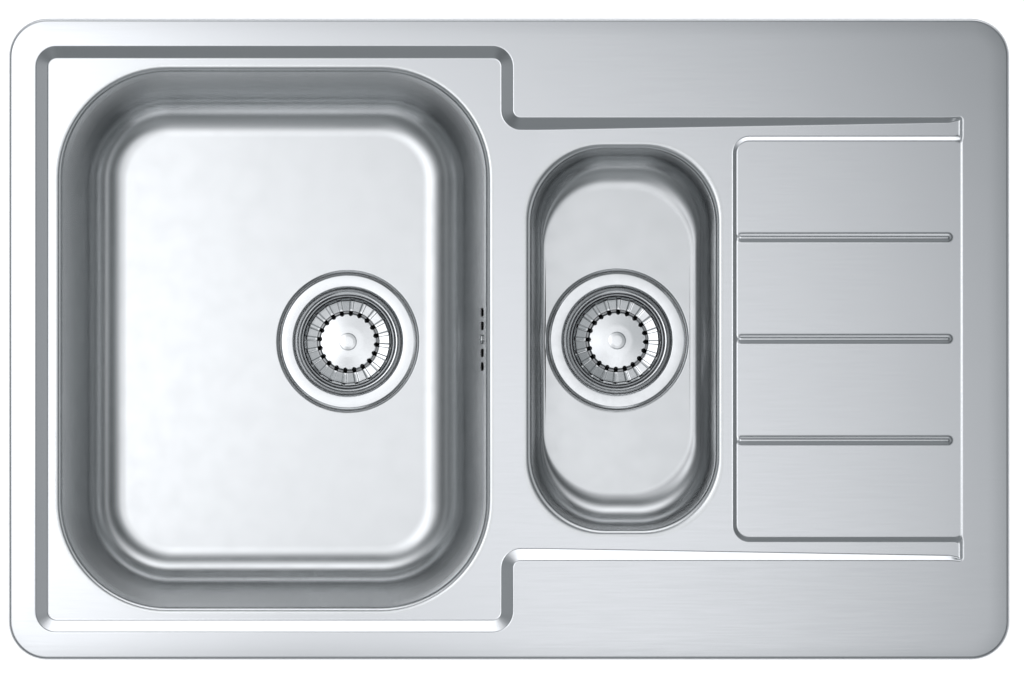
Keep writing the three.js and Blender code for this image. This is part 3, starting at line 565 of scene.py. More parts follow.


# %% [markdown]
# The floor has a shallow recess for the waste's flange, pressed with a small radius at its top
# and foot, so its height is again the step's profile, measured from the waste's axis. A drawn
# wall gets painted shade towards its top and in its corners, and along the arc into the floor
# at the right and the front.

# %% A bowl's mesh
MAIN_WASTE = (MAIN_LEFT + MAIN_RIGHT) / 2 + 56.0
HALF_WASTE = (HALF_LEFT + HALF_RIGHT) / 2 - 4.4
RECESS, RECESS_INNER, RECESS_DEPTH, HOLE = 56.4, 53.7, 3.0, 45.0
RECESS_STEP = (1.9, math.radians(38), 0.9, 0.3)
RECESS_DROP = (RECESS_DEPTH - 1.9, math.radians(70), 0.2, 0.2)


def ring(radius, centre, count=96):
    angle = np.arange(count) * 2 * math.pi / count
    return np.column_stack([centre + radius * np.cos(angle), radius * np.sin(angle)])


def bowl_mesh(name, lines, centre, floor):
    radii = [RECESS - d for d in step_places(*RECESS_STEP, bends=4)]
    radii += [RECESS_INNER - d for d in step_places(*RECESS_DROP, bends=3)] + [HOLE]
    circles = [(ring(radius, centre), True) for radius in radii]

    def height(x, y):
        r = np.hypot(x - centre, y)
        return floor - step(RECESS - r, *RECESS_STEP) - step(RECESS_INNER - r, *RECESS_DROP)

    edge = (lines[-1][:, :2], True)
    flat, faces = fill([edge, *circles], lambda x, y: np.hypot(x - centre, y) > HOLE * 0.9995)
    sheet = mesh_from(name, rows(lines), (np.column_stack([flat, height(*flat.T)]), faces))
    return with_wall(linked("holder", sheet), SHEET)


def drawn(left, right, half, radius, floor, corner_shade, foot, levels, west=1.0):
    """How much painted shade a drawn wall gets: by its level, at its foot and in its corners."""
    def share(x, y, z):
        wall = np.interp(z, *levels) * np.interp(x, [left + 35.0, left + 60.0], [west, 1.0])
        near = np.clip(np.maximum(2 * (x - left) / (right - left) - 1, -y / half), 0, 1)
        wall = wall + near * np.interp(z - floor, *foot)
        beyond_x = np.maximum(np.abs(x - (left + right) / 2) - (right - left) / 2 + radius, 0)
        beyond_y = np.maximum(np.abs(y) - half + radius, 0)
        corner = 2 * beyond_x * beyond_y / np.maximum(beyond_x**2 + beyond_y**2, 1e-6)
        wall = wall * (1 - 0.5 * beyond_y / np.maximum(np.hypot(beyond_x, beyond_y), 1e-3))
        depth = np.interp((z - floor) / (TRAY - floor), [0.08, 0.3, 0.75, 0.95], [0.0, 1.0, 1.0, 0.0])
        return wall + corner_shade * corner**1.5 * depth
    return share


# The half bowl's walls get painted shade by level, at the foot and in the corners.
half_bowl = paint_shade_where(bowl_mesh("half_bowl_sheet", HALF_LINES, HALF_WASTE, HALF_FLOOR), drawn(
    *HALF, HALF_FLOOR, 0.14, ([0.0, 0.1, 3.0, 12.0], [0.0, 0.6, 0.6, 0.0]),
    ([-83.0, -64.0, -45.0, -8.0, -3.0], [0.0, 0.16, 0.36, 0.38, 0.05])))
piece("half_bowl", "pressing", half_bowl, BOWL_SATIN)


# %% [markdown]
# ## The deck
#
# The deck's lines follow the outer edge, the tray's step, the plateau, the ribs and the two
# bowl seams. Along the drainer the step gets lower, so its lines are placed point by point:
# the drop is measured, the step's width follows from it, and a few rounds settle both.

# %% The deck's lines and mesh
def step_lines():
    where = stations(TRAY_LINE, 12, [6.0, 6.0, 6.0, 2.0, 6.0, 6.0, 6.0, 6.0])
    found = []
    for k, first in enumerate(step_places(RIM - TRAY, *tray_step(0.0))):
        inset = np.full(len(where), float(first))
        for _ in range(5):
            x, y = contour(TRAY_LINE, where, inset).T
            deeper = contour(TRAY_LINE, where, inset + 1.0)
            inset = step_places(RIM - inner_height(*deeper.T), *tray_step(x))[k]
        found.append((contour(TRAY_LINE, where, inset), True))
    return found


def plateau_lines():
    where = stations(PLATEAU_LINE, 10, 5.0)
    found = []
    for place in step_places(PLATEAU_RISE, *PLATEAU_SLOPE):
        line = contour(PLATEAU_LINE, where, PLATEAU_STEP - place)
        line = np.roll(line, -int(np.argmax(line[:, 0])), 0)
        line = line[np.argsort(np.unwrap(np.arctan2(line[:, 1], line[:, 0] - 300)))]
        found.append((line[line[:, 0] < TRAY_RIGHT - 1.0], False))
    return found


def rib_lines():
    found, half = [], RIB_WIDTH / 2
    for place in RIB_PLACES:
        for share in (0.12, 0.25, 0.4, 0.55, 0.7, 0.85, 1.0, 1.1):
            radius = half * share
            x0, x1 = RIB_START + half - radius, RIB_END - half + radius
            corners = box_corners(x0, x1, radius, radius * 0.999, place)
            found.append((contour(corners, stations(corners, 5, 5.0)), True))
        found.append((np.array([(x, place) for x in np.linspace(RIB_START + 4.4, RIB_END - 4.4, 34)]), False))
    return found


def seam(left, right, half, radius):
    return box_corners(left - SEAM, right + SEAM, half + SEAM, radius)


outer = stations(OUTLINE, 16, 8.0)
rim_places = [EDGE_ROLL * (1 - math.cos(k / 6 * math.pi / 2)) for k in range(7)]
rim_places += [3.0, 4.5, 7.0, 10.0, 13.0, 16.0, 17.0]
deck_lines = [(contour(OUTLINE, outer, d), True) for d in rim_places]
deck_lines += step_lines() + plateau_lines() + rib_lines()
deck_lines += [(MAIN_LINES[0][:, :2], True), (HALF_LINES[0][:, :2], True)]
wider = SEAM * (HALF_CORNER - HALF_FLOOR_CORNER) / HALF_INSETS[2]
MAIN_SEAM = seam(MAIN_LEFT, MAIN_RIGHT, MAIN_HALF, MAIN_CORNER + SEAM)
HALF_SEAM = seam(HALF_LEFT, HALF_RIGHT, HALF_HALF, HALF_CORNER + wider)


def on_deck(x, y):
    return (inside(MAIN_SEAM, x, y) < 0.02) & (inside(HALF_SEAM, x, y) < 0.02)


flat, faces = fill(deck_lines, on_deck)
points = np.column_stack([flat, sheet_height(*flat.T)])
print("deck points", len(points), "faces", len(faces))

# %% [markdown]
# Round the outside the sheet turns down to the worktop. That skirt is upright, which a height
# field can't be, so it is a strip of quads from the rolled edge down to the worktop's level.

# %% The skirt, and the deck as a piece
low = contour(OUTLINE, outer)
skirt = rows([at_height(low, z) for z in (0.0, RIM - EDGE_ROLL - float(crowned(0.0)))])
deck = linked("holder", mesh_from("deck_sheet", (points, faces), skirt))
piece("deck", "pressing", with_wall(deck, SHEET), SATIN)

# %% [markdown]
# ## Other finishes
#
# The cups are spun and satin, and the baskets are polished, so they mirror the room more sharply
# than the sheet does. The screws and claws are zinc plated: a duller, slightly blue-grey metal
# with a fine cloudy pattern. The plastics under the sink are moulded polypropylene, with a faint
# grain, and the seals are black rubber and closed-cell foam.

# %% Polish, zinc, plastic, rubber and foam
# Each row: name, slot, colour, metallic, roughness, its spread, the bumps' depth and scale.
POLISHED, ZINC, WHITE_PLASTIC, GREY_PLASTIC, RUBBER, FOAM = (surface(*row) for row in (
    ("polished_stainless_steel", "polished_stainless", "#DCDEDF", 1.0, 0.15, 0.03, 0.000004, 400.0),
    ("zinc_plated_steel", "zinc_plated_steel", "#B9BEC6", 1.0, 0.36, 0.08, 0.00001, 700.0),
    ("white_moulded_polypropylene", "white_plastic", "#ECECE8", 0.0, 0.42, 0.06, 0.00001, 1200.0),
    ("grey_moulded_polypropylene", "grey_plastic", "#55585C", 0.0, 0.45, 0.06, 0.00001, 1200.0),
    ("black_nitrile_rubber", "black_rubber", "#232426", 0.0, 0.72, 0.06, 0.00002, 900.0),
    ("dark_closed_cell_foam", "dark_foam", "#36373A", 0.0, 0.9, 0.04, 0.00025, 1500.0)))
CUP_SATIN = stainless("satin_spun_stainless_steel", "#DEE0E1", 0.2, (200.0, 200.0, 200.0), 0.00002, 0.03)
# Painted shade for the baskets and the cups: where their meshes say so, the polish darkens towards #3A3C3F and
# the spun satin towards #55575A.
with_painted_shade(POLISHED, "#3A3C3F")
with_painted_shade(CUP_SATIN, "#55575A")


# %% [markdown]
# ## Turned shapes
#
# Cups, rings, knobs and screws are turned: one profile, spun round the axis. The profile's
# corners are rounded first, since a sharp corner catches no light and looks drawn. A ripple
# that climbs as it goes round makes a screw thread of the same surface.

# %% Profiles and turning
def softened(corners, radius, bends=4, closed=True):
    """A polyline with its corners replaced by arcs. radius is one value or one for each corner."""
    points = np.array(corners, float)
    count = len(points)
    radii = np.broadcast_to(np.asarray(radius, float), (count,))
    made = []
    for i, corner in enumerate(points):
        reach = 0
        if closed or i not in (0, count - 1):
            before, after = points[i - 1] - corner, points[(i + 1) % count] - corner
            la, lb = np.linalg.norm(before), np.linalg.norm(after)
            half = math.acos(np.clip(before @ after / (la * lb), -1, 1)) / 2
            reach = min(radii[i] / math.tan(half), 0.45 * la, 0.45 * lb)
        if reach < 0.02:
            made.append(corner)
            continue
        start, end = corner + before / la * reach, corner + after / lb * reach
        for k in range(bends + 1):
            t = k / bends
            made.append((1 - t) ** 2 * start + 2 * t * (1 - t) * corner + t**2 * end)
    return np.array(made)


def turned(profile, count=96, closed=True, centre=(0, 0, 0), ripple=None):
    """Points and faces of a profile of (radius, height) spun round the vertical axis."""
    radius, height = np.array(profile, float).T
    angle = np.arange(count) * 2 * math.pi / count
    r = np.repeat(radius[:, None], count, 1)
    z = np.repeat(height[:, None], count, 1)
    if ripple:
        r = r - ripple(r, z, angle[None, :])
    loops = list(np.stack([r * np.cos(angle), r * np.sin(angle), z], 2) + np.array(centre))
    if closed:
        loops.append(loops[0])
    points, faces = rows(loops)
    return points, [face[::-1] for face in faces]


def thread(radius, low, high, pitch, depth):
    """A ripple that cuts a screw thread into the surface of one radius between two heights."""
    def ripple(r, z, angle):
        wave = np.abs(2 * np.mod(z / pitch - angle / (2 * math.pi), 1) - 1)
        fade = np.clip((z - low) / pitch, 0, 1) * np.clip((high - z) / pitch, 0, 1)
        return np.where(np.abs(r - radius) < 0.01, depth * wave * fade, 0)
    return ripple


def climb(radius, low, high, pitch):
    """Profile points close enough together to show each turn of a thread."""
    return [(radius, z) for z in np.linspace(low, high, max(2, round(abs(high - low) / pitch * 6)))]


def outward(mesh):
    """The same mesh with every closed shell's faces turned out, and spun seams joined."""
    bm = bmesh.new()
    bm.from_mesh(mesh)
    bmesh.ops.remove_doubles(bm, verts=bm.verts, dist=2e-6)
    bmesh.ops.dissolve_degenerate(bm, edges=bm.edges, dist=1e-7)
    bmesh.ops.recalc_face_normals(bm, faces=bm.faces)
    return mesh_of(bm, mesh)


def solid(*parts):
    return outward(mesh_from("solid", *parts))


def carved(mesh, *tools, operation="DIFFERENCE"):
    """The mesh after cutting away, or adding, solid tools."""
    holder = linked("carved", mesh)
    others = [linked("tool", solid(tool)) for tool in tools]
    for other in others:
        cut = holder.modifiers.new("cut", "BOOLEAN")
        cut.operation, cut.solver, cut.object = operation, "EXACT", other
    made = baked(holder)
    for other in others:
        bpy.data.objects.remove(other)
    return made


def moved(part, matrix):
    """Points and faces after a turn and shift."""
    points, faces = part
    turn = np.array(matrix)
    return np.asarray(points) @ turn[:3, :3].T + turn[:3, 3], faces


def placed(mesh, place, turn=0.0):
    """The mesh at its place in millimetres, after a turn round its own axis."""
    mesh.transform(Matrix.Translation(Vector(place) / 1000) @ Matrix.Rotation(turn, 4, "Z"))
    return mesh


def capped(loops):
    """Points and faces of a stack of loops with both of its ends closed."""
    points, faces = rows(loops)
    count = len(loops[0])
    return points, faces + [tuple(range(count))[::-1], tuple(range(len(points) - count, len(points)))]


def slot_tool(width, start, end, low, high, turn=0.0):
    """A closed rod of slot section, along X and then turned, for cutting a round-ended slot."""
    corners = box_corners(start, end, width / 2, width / 2 * 0.999)
    line = contour(corners, stations(corners, 6, 50.0))
    return moved(capped([at_height(line, z) for z in (low, high)]), Matrix.Rotation(turn, 4, "Z"))


# %% [markdown]
# ## The main bowl and its overflow
#
# The main bowl's right wall has the overflow's four upright slots, and between them the hole of
# its screw. They are cut square to the wall, which leans by eight degrees, after the sheet has
# its thickness, so that the slots show the sheet's edge.

# %% The main bowl with its slots
OVERFLOW_Z = TRAY - 24.0
WALL_TOP = TRAY - LIP * (1 - math.sin(DRAFT))
WALL_X = MAIN_RIGHT - LIP * math.cos(DRAFT) - (WALL_TOP - OVERFLOW_Z) * math.tan(DRAFT)
SLOT_PITCH, SLOT_WIDE, SLOT_TALL, SCREW_HOLE = 10.6, 6.5, 18.0, 2.5


def overflow_tools():
    wall = Matrix.Translation((WALL_X, 0, OVERFLOW_Z)) @ Matrix.Rotation(DRAFT + math.pi / 2, 4, "Y")
    tool = slot_tool(SLOT_WIDE, -SLOT_TALL / 2, SLOT_TALL / 2, -3.0, 3.0)
    for place in (-2, -1, 1, 2):
        yield moved(moved(tool, Matrix.Translation((0, place * SLOT_PITCH, 0))), wall)
    yield moved(turned([(0, -3), (SCREW_HOLE, -3), (SCREW_HOLE, 3), (0, 3)], 24), wall)


main_bowl = carved(bowl_mesh("main_bowl_sheet", MAIN_LINES, MAIN_WASTE, MAIN_FLOOR), *overflow_tools())
# The main bowl's walls get painted shade by level, at the foot and in the corners, much less at the left.
paint_shade_where(main_bowl, drawn(
    *MAIN, MAIN_FLOOR, 0.56, ([0.15, 0.7, 3.0, 12.0], [0.0, 0.45, 0.45, 0.0]),
    ([-132.0, -90.0, -45.0, -8.0, -3.0], [0.0, 0.1, 0.36, 0.4, 0.05]), 0.1))
piece("main_bowl", "pressing", main_bowl, BOWL_SATIN)


# %% [markdown]
# ## Wastes
#
# Each waste is a strainer cup that hangs in the bowl's hole by a flange, rubber under it on both
# sides of the sheet, and a plastic body below that a screw draws up. All of these are turned
# shapes. The cup's floor has six drain slots under the basket.

# %% Strainer cups, gaskets, bodies and screws
FLANGE, FLANGE_THICK, THROAT, LEDGE, SHELF, CUP = 53.5, 1.2, 42.3, 39.6, 38.4, 36.9
CUP_DEPTH, CUP_WALL, GAP = 29.0, 1.0, 0.3
CUP_BOTTOM, SEAL_TOP = -CUP_DEPTH - CUP_WALL, -CUP_DEPTH + 2.3
GASKET, GASKET_TOP, GASKET_RADIUS = 2.5, -RECESS_DEPTH - SHEET - GAP, 52.0
BODY_TOP = GASKET_TOP - GASKET - GAP
BODY_BORE, BODY_WALL = THROAT + CUP_WALL, 3.0
CONE_TOP, BODY_DROP = CUP_BOTTOM - 4.0, 53.0
OUTLET, OUTLET_WALL, OUTLET_DROP = 23.9, 2.9, 25.0
SCREW, SCREW_LENGTH, SCREW_HEAD = 3.0, 30.0, 6.0
PORT_DROP, PORT_REACH, HOSE, HOSE_BORE, HOSE_GROOVE, SPIGOT = 24.0, 50.0, 11.0, 8.4, 1.6, 12.0
PIPE_PITCH = 25.4 / 11
QUARTER = math.pi / 2


def strainer_cup(prefix, place):
    profile = softened([
        (FLANGE, -FLANGE_THICK), (FLANGE, -0.9), (FLANGE - 1.3, 0.05), (THROAT + 1.2, 0.05),
        (THROAT, -1.8), (LEDGE, -8.6), (SHELF + 0.4, -9.2), (SHELF - 0.4, -9.3), (CUP, -10.2),
        (CUP, -CUP_DEPTH), (SCREW + GAP, -CUP_DEPTH), (SCREW + GAP, CUP_BOTTOM), (CUP + 1.0, CUP_BOTTOM),
        (CUP + 2.0, -11.0), (LEDGE + 1.0, -10.0), (THROAT + 1.0, -FLANGE_THICK)],
        [0.2, 0.3, 1.2, 1.0, 1.0, 0.5, 0.2, 0.2, 0.3, 3.0, 0.2, 0.2, 4.0, 1.2, 1.0, 0.6])
    slots = [slot_tool(4.5, 13, 25, CUP_BOTTOM - 1, -CUP_DEPTH + 1, k * math.pi / 3) for k in range(6)]
    cup = placed(carved(solid(turned(profile, 128)), *slots), place)
    # Painted shade in the cup's throat and at the top of its wall, leaving a light line at the ledge.
    paint_shade_where(cup, by_radius(place, [37.4, 37.8, 38.1, 38.7, 39.0, 41.6, 43.2], [1, 0.45, 0, 0, 0.45, 0.4, 0]))
    piece(f"{prefix}_strainer_cup", "spun", cup, CUP_SATIN)


def ring_piece(node, inner, outer, low, high, soft, finish, body, place):
    profile = softened([(inner, low), (outer, low), (outer, high), (inner, high)], soft)
    piece(node, "moulded", solid(turned(profile, centre=place)), finish, body)


def waste_body(prefix, place, has_port):
    low, end = -BODY_DROP - BODY_WALL / 2, -BODY_DROP - OUTLET_DROP
    bore = OUTLET - OUTLET_WALL
    skin, thread_top = BODY_BORE + BODY_WALL, low - 3.0
    outside = softened([
        (BODY_BORE, BODY_TOP), (GASKET_RADIUS, BODY_TOP), (GASKET_RADIUS, BODY_TOP - 4), (skin, BODY_TOP - 4),
        (skin, CONE_TOP - 1.5), (OUTLET + 0.02, low), (OUTLET + 0.02, thread_top)],
        [0, 0.8, 0.8, 0.8, 6.0, 2.0, 0], closed=False)
    inner = softened([(bore, end + 0.4), (bore, -BODY_DROP), (BODY_BORE, CONE_TOP), (BODY_BORE, BODY_TOP)],
                     [0, 2.0, 6.0, 0], closed=False)
    profile = [*outside, *climb(OUTLET, low - 3.2, end + 1.2, PIPE_PITCH), (OUTLET - 0.9, end),
               (bore + 0.4, end), *inner]
    body = solid(turned(profile, ripple=thread(OUTLET, end, thread_top, PIPE_PITCH, 1.1)))
    screw_end = -CUP_DEPTH - SCREW_LENGTH
    boss = turned(softened([(0, CONE_TOP), (7, CONE_TOP), (7, screw_end - 2), (0, screw_end - 2)],
                           [0, 0.8, 1.5, 0]), 48)
    spokes = [slot_tool(3.0, -BODY_BORE - 1, BODY_BORE + 1, CONE_TOP - 12, CONE_TOP - GAP, turn)
              for turn in (0, QUARTER)]
    body = carved(body, boss, *spokes, operation="UNION")
    low, high = screw_end - GAP, CONE_TOP + 1
    body = carved(body, turned([(0, high), (SCREW + GAP, high), (SCREW + GAP, low), (0, low)], 32))
    if has_port:
        along = Matrix.Translation((0, 0, -PORT_DROP)) @ Matrix.Rotation(QUARTER, 4, "Y")
        nose, tip = HOSE_BORE - 0.3, PORT_REACH + SPIGOT
        tube = turned(softened([
            (0, BODY_BORE + 1.2), (HOSE, BODY_BORE + 1.2), (HOSE, PORT_REACH), (nose, PORT_REACH),
            (nose, tip), (0, tip)], [0, 0, 0.8, 0.3, 0.8, 0]), 48)
        passage = turned([(0, BODY_BORE - 3), (nose - 2, BODY_BORE - 3), (nose - 2, tip + 1), (0, tip + 1)], 48)
        body = carved(body, moved(tube, along), operation="UNION")
        body = carved(body, moved(passage, along))
    piece(f"{prefix}_waste_body", "moulded", placed(body, place), WHITE_PLASTIC)


def waste_screw(prefix, place):
    low, under = -CUP_DEPTH - SCREW_LENGTH, -CUP_DEPTH + GAP
    head = softened([(0, SEAL_TOP), (SCREW_HEAD - 1, SEAL_TOP - 0.05), (SCREW_HEAD, SEAL_TOP - 0.9),
                     (SCREW_HEAD, under), (SCREW, under)], [0, 0.6, 0.5, 0.2, 0.1], closed=False)
    profile = [*head, *climb(SCREW, under - 1.0, low + 0.8, 1.0), (SCREW - 0.7, low), (0, low)]
    body = solid(turned(profile, 48, ripple=thread(SCREW, low, under, 1.0, 0.5)))
    for turn in (0, QUARTER):
        body = carved(body, slot_tool(1.2, -3.2, 3.2, SEAL_TOP - 1.2, SEAL_TOP + 1, turn))
    piece(f"{prefix}_waste_screw", "turned", placed(body, place), POLISHED)


PLACES = {"main": (MAIN_WASTE, 0.0, MAIN_FLOOR), "half": (HALF_WASTE, 0.0, HALF_FLOOR)}
for prefix, place in PLACES.items():
    strainer_cup(prefix, place)
    ring_piece(f"{prefix}_flange_gasket", HOLE + GAP, FLANGE - 1, -RECESS_DEPTH + GAP, -FLANGE_THICK - GAP,
               0.4, RUBBER, "sink", place)
    ring_piece(f"{prefix}_lower_gasket", HOLE, GASKET_RADIUS, GASKET_TOP - GASKET, GASKET_TOP,
               0.8, RUBBER, "sink", place)
    waste_body(prefix, place, prefix == "main")
    waste_screw(prefix, place)


# %% [markdown]
# ## Baskets by Geometry Nodes
#
# A basket is pressed with twenty equal facets: each has half a slot and half a hole on both of
# its sides. So one slice of 18 degrees is drawn, with its slot and hole cut out, and a Geometry
# Nodes tree copies it round the axis, joins the copies and gives them their material. The tree
# takes the number of copies as an input, so it suits any basket of this kind.

# %% One slice, and the tree that repeats it
SLICES = 20
BASKET_RIM, BASKET_FLOOR_R, BASKET_TOP, BASKET_FLOOR, TROUGH = 36.5, 33.7, -10.5, -22.5, 1.6
DOME_FOOT, DOME_TOP, DOME_HIGH, FOLD = 24.0, 22.1, 8.5, 0.28
CROWN = BASKET_FLOOR + DOME_HIGH + 1.5
ROLL_OUT = 28.0  # the radius at which a slice is drawn flat


def along(profile, distance):
    """Radius and height at a distance along a profile, and its whole length."""
    steps = np.linalg.norm(np.diff(profile, axis=0), axis=1)
    length = np.concatenate([[0], np.cumsum(steps)])
    return np.interp(distance, length, profile[:, 0]), np.interp(distance, length, profile[:, 1]), length[-1]


def basket_slice():
    profile = softened([
        (BASKET_RIM - 0.1, BASKET_TOP - 0.7), (BASKET_RIM - 0.35, BASKET_TOP),
        (BASKET_RIM - 1.0, BASKET_TOP - 0.6), (BASKET_FLOOR_R, BASKET_FLOOR + TROUGH),
        (DOME_FOOT, BASKET_FLOOR), (DOME_TOP, CROWN - 1.2), (12.0, CROWN - 0.4), (3.0, CROWN)],
        [0, 0.3, 0.5, 1.4, 0.8, 1.2, 9.0, 0], 5, closed=False)
    total = along(profile, 0)[2]
    half = math.pi / SLICES
    places = np.linspace(0, total, 60)
    radius_at, height_at, _ = along(profile, places)

    def where(condition):
        return places[np.nonzero(condition)[0][0]]

    def opening(start, end, width, radius):
        reach = width / 2 / radius * ROLL_OUT
        corners = box_corners(start, end, reach, reach * 0.98)
        return contour(corners, stations(corners, 5, 0.7)), corners

    hole, hole_corners = opening(
        where((radius_at > 30) & (height_at < BASKET_FLOOR + 7.4) & (places > 3)),
        where((radius_at < BASKET_FLOOR_R - 0.6) & (places > 3)), 2.6, 34.0)
    slot, slot_corners = opening(
        where(radius_at < DOME_FOOT - 0.1), where(radius_at < DOME_TOP - 1.5), 3.0, 22.0)
    side = [0.12, 0.24, 0.3, 0.36, 0.42, 0.5, 0.75, 1]
    across = half * ROLL_OUT * np.array([*[-s for s in reversed(side)], 0, *side])
    rungs = np.linspace(0, total, 46)
    lines = [(np.column_stack([np.full(len(across), s), across]), False) for s in rungs]
    lines += [(np.column_stack([rungs, np.full(len(rungs), a)]), False) for a in across]
    lines += [(hole, True), (slot, True)]

    def keep(s, a):
        return (inside(hole_corners, s, a) < 0) & (inside(slot_corners, s, a) < 0)

    flat, faces = fill(lines, keep)
    radius, height, _ = along(profile, flat[:, 0])
    angle = flat[:, 1] / ROLL_OUT
    facet = np.cos(half) / np.cos(half - np.abs(angle))
    share = np.clip((radius - DOME_FOOT + 1) / 2, 0, 1) * np.clip((BASKET_RIM - 0.8 - radius) / 1.5, 0, 1)
    radius = radius * (1 - share * (1 - facet))
    fold = np.clip((0.42 - np.abs(angle) / half) / 0.16, 0, 1)
    on_trough = np.clip((radius - DOME_FOOT) / 0.8, 0, 1) * np.clip((BASKET_FLOOR_R - radius) / 0.8, 0, 1)
    height = height - FOLD * fold * on_trough * (height < BASKET_FLOOR + 4)
    points = np.column_stack([radius * np.cos(angle), radius * np.sin(angle), height])
    return mesh_from("slice", (points, faces))


def new_tree(name, **kinds):
    """An empty tree that takes a geometry, the named inputs and a finish. Gives it and its inputs."""
    tree = bpy.data.node_groups.new(name, "GeometryNodeTree")
    for title, kind in {"Geometry": "Geometry", **kinds, "Finish": "Material"}.items():
        tree.interface.new_socket(title, in_out="INPUT", socket_type=f"NodeSocket{kind}")
    tree.interface.new_socket("Geometry", in_out="OUTPUT", socket_type="NodeSocketGeometry")
    return tree, add(tree, "NodeGroupInput")


def ring_tree():
    tree, given = new_tree("copies_round_an_axis", Copies="Int")
    index = add(tree, "GeometryNodeInputIndex")[0]
    share = add(tree, "ShaderNodeMath", {0: index, 1: given["Copies"]}, operation="DIVIDE")[0]
    angle = add(tree, "ShaderNodeMath", {0: share, 1: 2 * math.pi}, operation="MULTIPLY")[0]
    turn = add(tree, "ShaderNodeCombineXYZ", {"Z": angle})[0]
    points = add(tree, "GeometryNodeMeshLine", {"Count": given["Copies"], "Offset": (0.0, 0.0, 0.0)})[0]
    copies = add(tree, "GeometryNodeInstanceOnPoints", {
        "Points": points, "Instance": given["Geometry"], "Rotation": turn})[0]
    real = add(tree, "GeometryNodeRealizeInstances", {"Geometry": copies})[0]
    joined = add(tree, "GeometryNodeMergeByDistance", {"Geometry": real, "Distance": 0.00001})[0]
    painted = add(tree, "GeometryNodeSetMaterial", {"Geometry": joined, "Material": given["Finish"]})[0]
    add(tree, "NodeGroupOutput", {"Geometry": painted})
    return tree


def with_nodes(name, start, tree, wall, **values):
    """The mesh that a node tree makes of a start, given a wall thickness."""
    holder = linked(name, start)
    made = holder.modifiers.new("tree", "NODES")
    made.node_group = tree
    for item in tree.interface.items_tree:
        if item.in_out == "INPUT" and item.name in values:
            made[item.identifier] = values[item.name]
    return with_wall(holder, wall)


RING_TREE = ring_tree()
SLICE = basket_slice()
BASKET_TURN = {"main": math.radians(12.4), "half": math.radians(15.6)}
for prefix, place in PLACES.items():
    body = f"{prefix}_basket_body"
    mesh = with_nodes("basket", SLICE.copy(), RING_TREE, 0.7, Copies=SLICES, Finish=POLISHED)
    placed(mesh, place, BASKET_TURN[prefix])
    # Painted shade in the ring between the dome and the trough, where the dome's shadow falls, and a little on
    # the basket's outer wall.
    paint_shade_where(mesh, by_radius(place, [21.9, 22.2, 24.4, 24.8, 33.0, 33.6], [0, 1.0, 1.0, 0, 0, 0.25]))
    piece(f"{prefix}_basket", "pressed", mesh, POLISHED, body, 24)
    base, stem = CROWN + 0.3, SEAL_TOP + 1.0
    knob = softened([
        (0, base + 6.5), (4.0, base + 6.36), (6.2, base + 6.1), (6.95, base + 5.95), (6.95, base + 1.6),
        (5.9, base + 0.1), (2.7, base), (2.7, stem), (0, stem)],
        [0, 12, 8, 0.12, 1, 0.8, 0.6, 0.3, 0], 5, closed=False)
    knob = solid(turned(knob, 64, closed=False, centre=place))
    piece(f"{prefix}_basket_knob", "turned", knob, POLISHED, body, 50)
    ring_piece(f"{prefix}_basket_seal", SCREW_HEAD + 1, 30.0, SEAL_TOP - 2, SEAL_TOP, 0.7, RUBBER, body, place)
    ring_piece(f"{prefix}_seal_holder", 3.0, 22.0, SEAL_TOP + GAP, SEAL_TOP + 2.3,
               0.6, GREY_PLASTIC, body, place)


# %% [markdown]
# ## The overflow hose by Geometry Nodes
#
# The hose is a corrugated tube. Its centre line is straight down along the bowl's wall, one
# bend, and straight to the waste. The tree walks that line, lets the tube's radius swell and
# narrow once for each rib, and sweeps a circle along it. The hose is held at both ends, so it
# isn't a free cord.

# %% The hose's line and tree
HOUSING_FRONT, HOUSING_DEEP, HOUSING_TALL = 2.1, 20.0, 34.0
HOSE_BEND, HOSE_PITCH, HOSE_WALL = 30.0, 5.0, 0.8
WALL_BACK = np.array([WALL_X + SHEET / math.cos(DRAFT), 0, OVERFLOW_Z])


def hose_line():
    down = np.array([-math.sin(DRAFT), 0, -math.cos(DRAFT)])
    normal = np.array([math.cos(DRAFT), 0, -math.sin(DRAFT)])
    start = WALL_BACK + normal * (HOUSING_FRONT + HOUSING_DEEP / 2)
    start = start + down * (HOUSING_TALL / 2 + SPIGOT / 2 + GAP)
    end = np.array([MAIN_WASTE + PORT_REACH + GAP, 0, MAIN_FLOOR - PORT_DROP])
    corner = start + down * (start[2] - end[2]) / math.cos(DRAFT)
    tangent = HOSE_BEND * math.tan((QUARTER - DRAFT) / 2)
    first, last = corner + down * -tangent, corner + np.array([-tangent, 0, 0])
    centre = last + np.array([0, 0, HOSE_BEND])
    points = [start + (first - start) * k / 40 for k in range(40)]
    for k in range(49):
        angle = DRAFT + (QUARTER - DRAFT) * k / 48
        points.append(centre + HOSE_BEND * np.array([math.cos(angle), 0, -math.sin(angle)]))
    return points + [last + (end - last) * k / 12 for k in range(1, 13)]


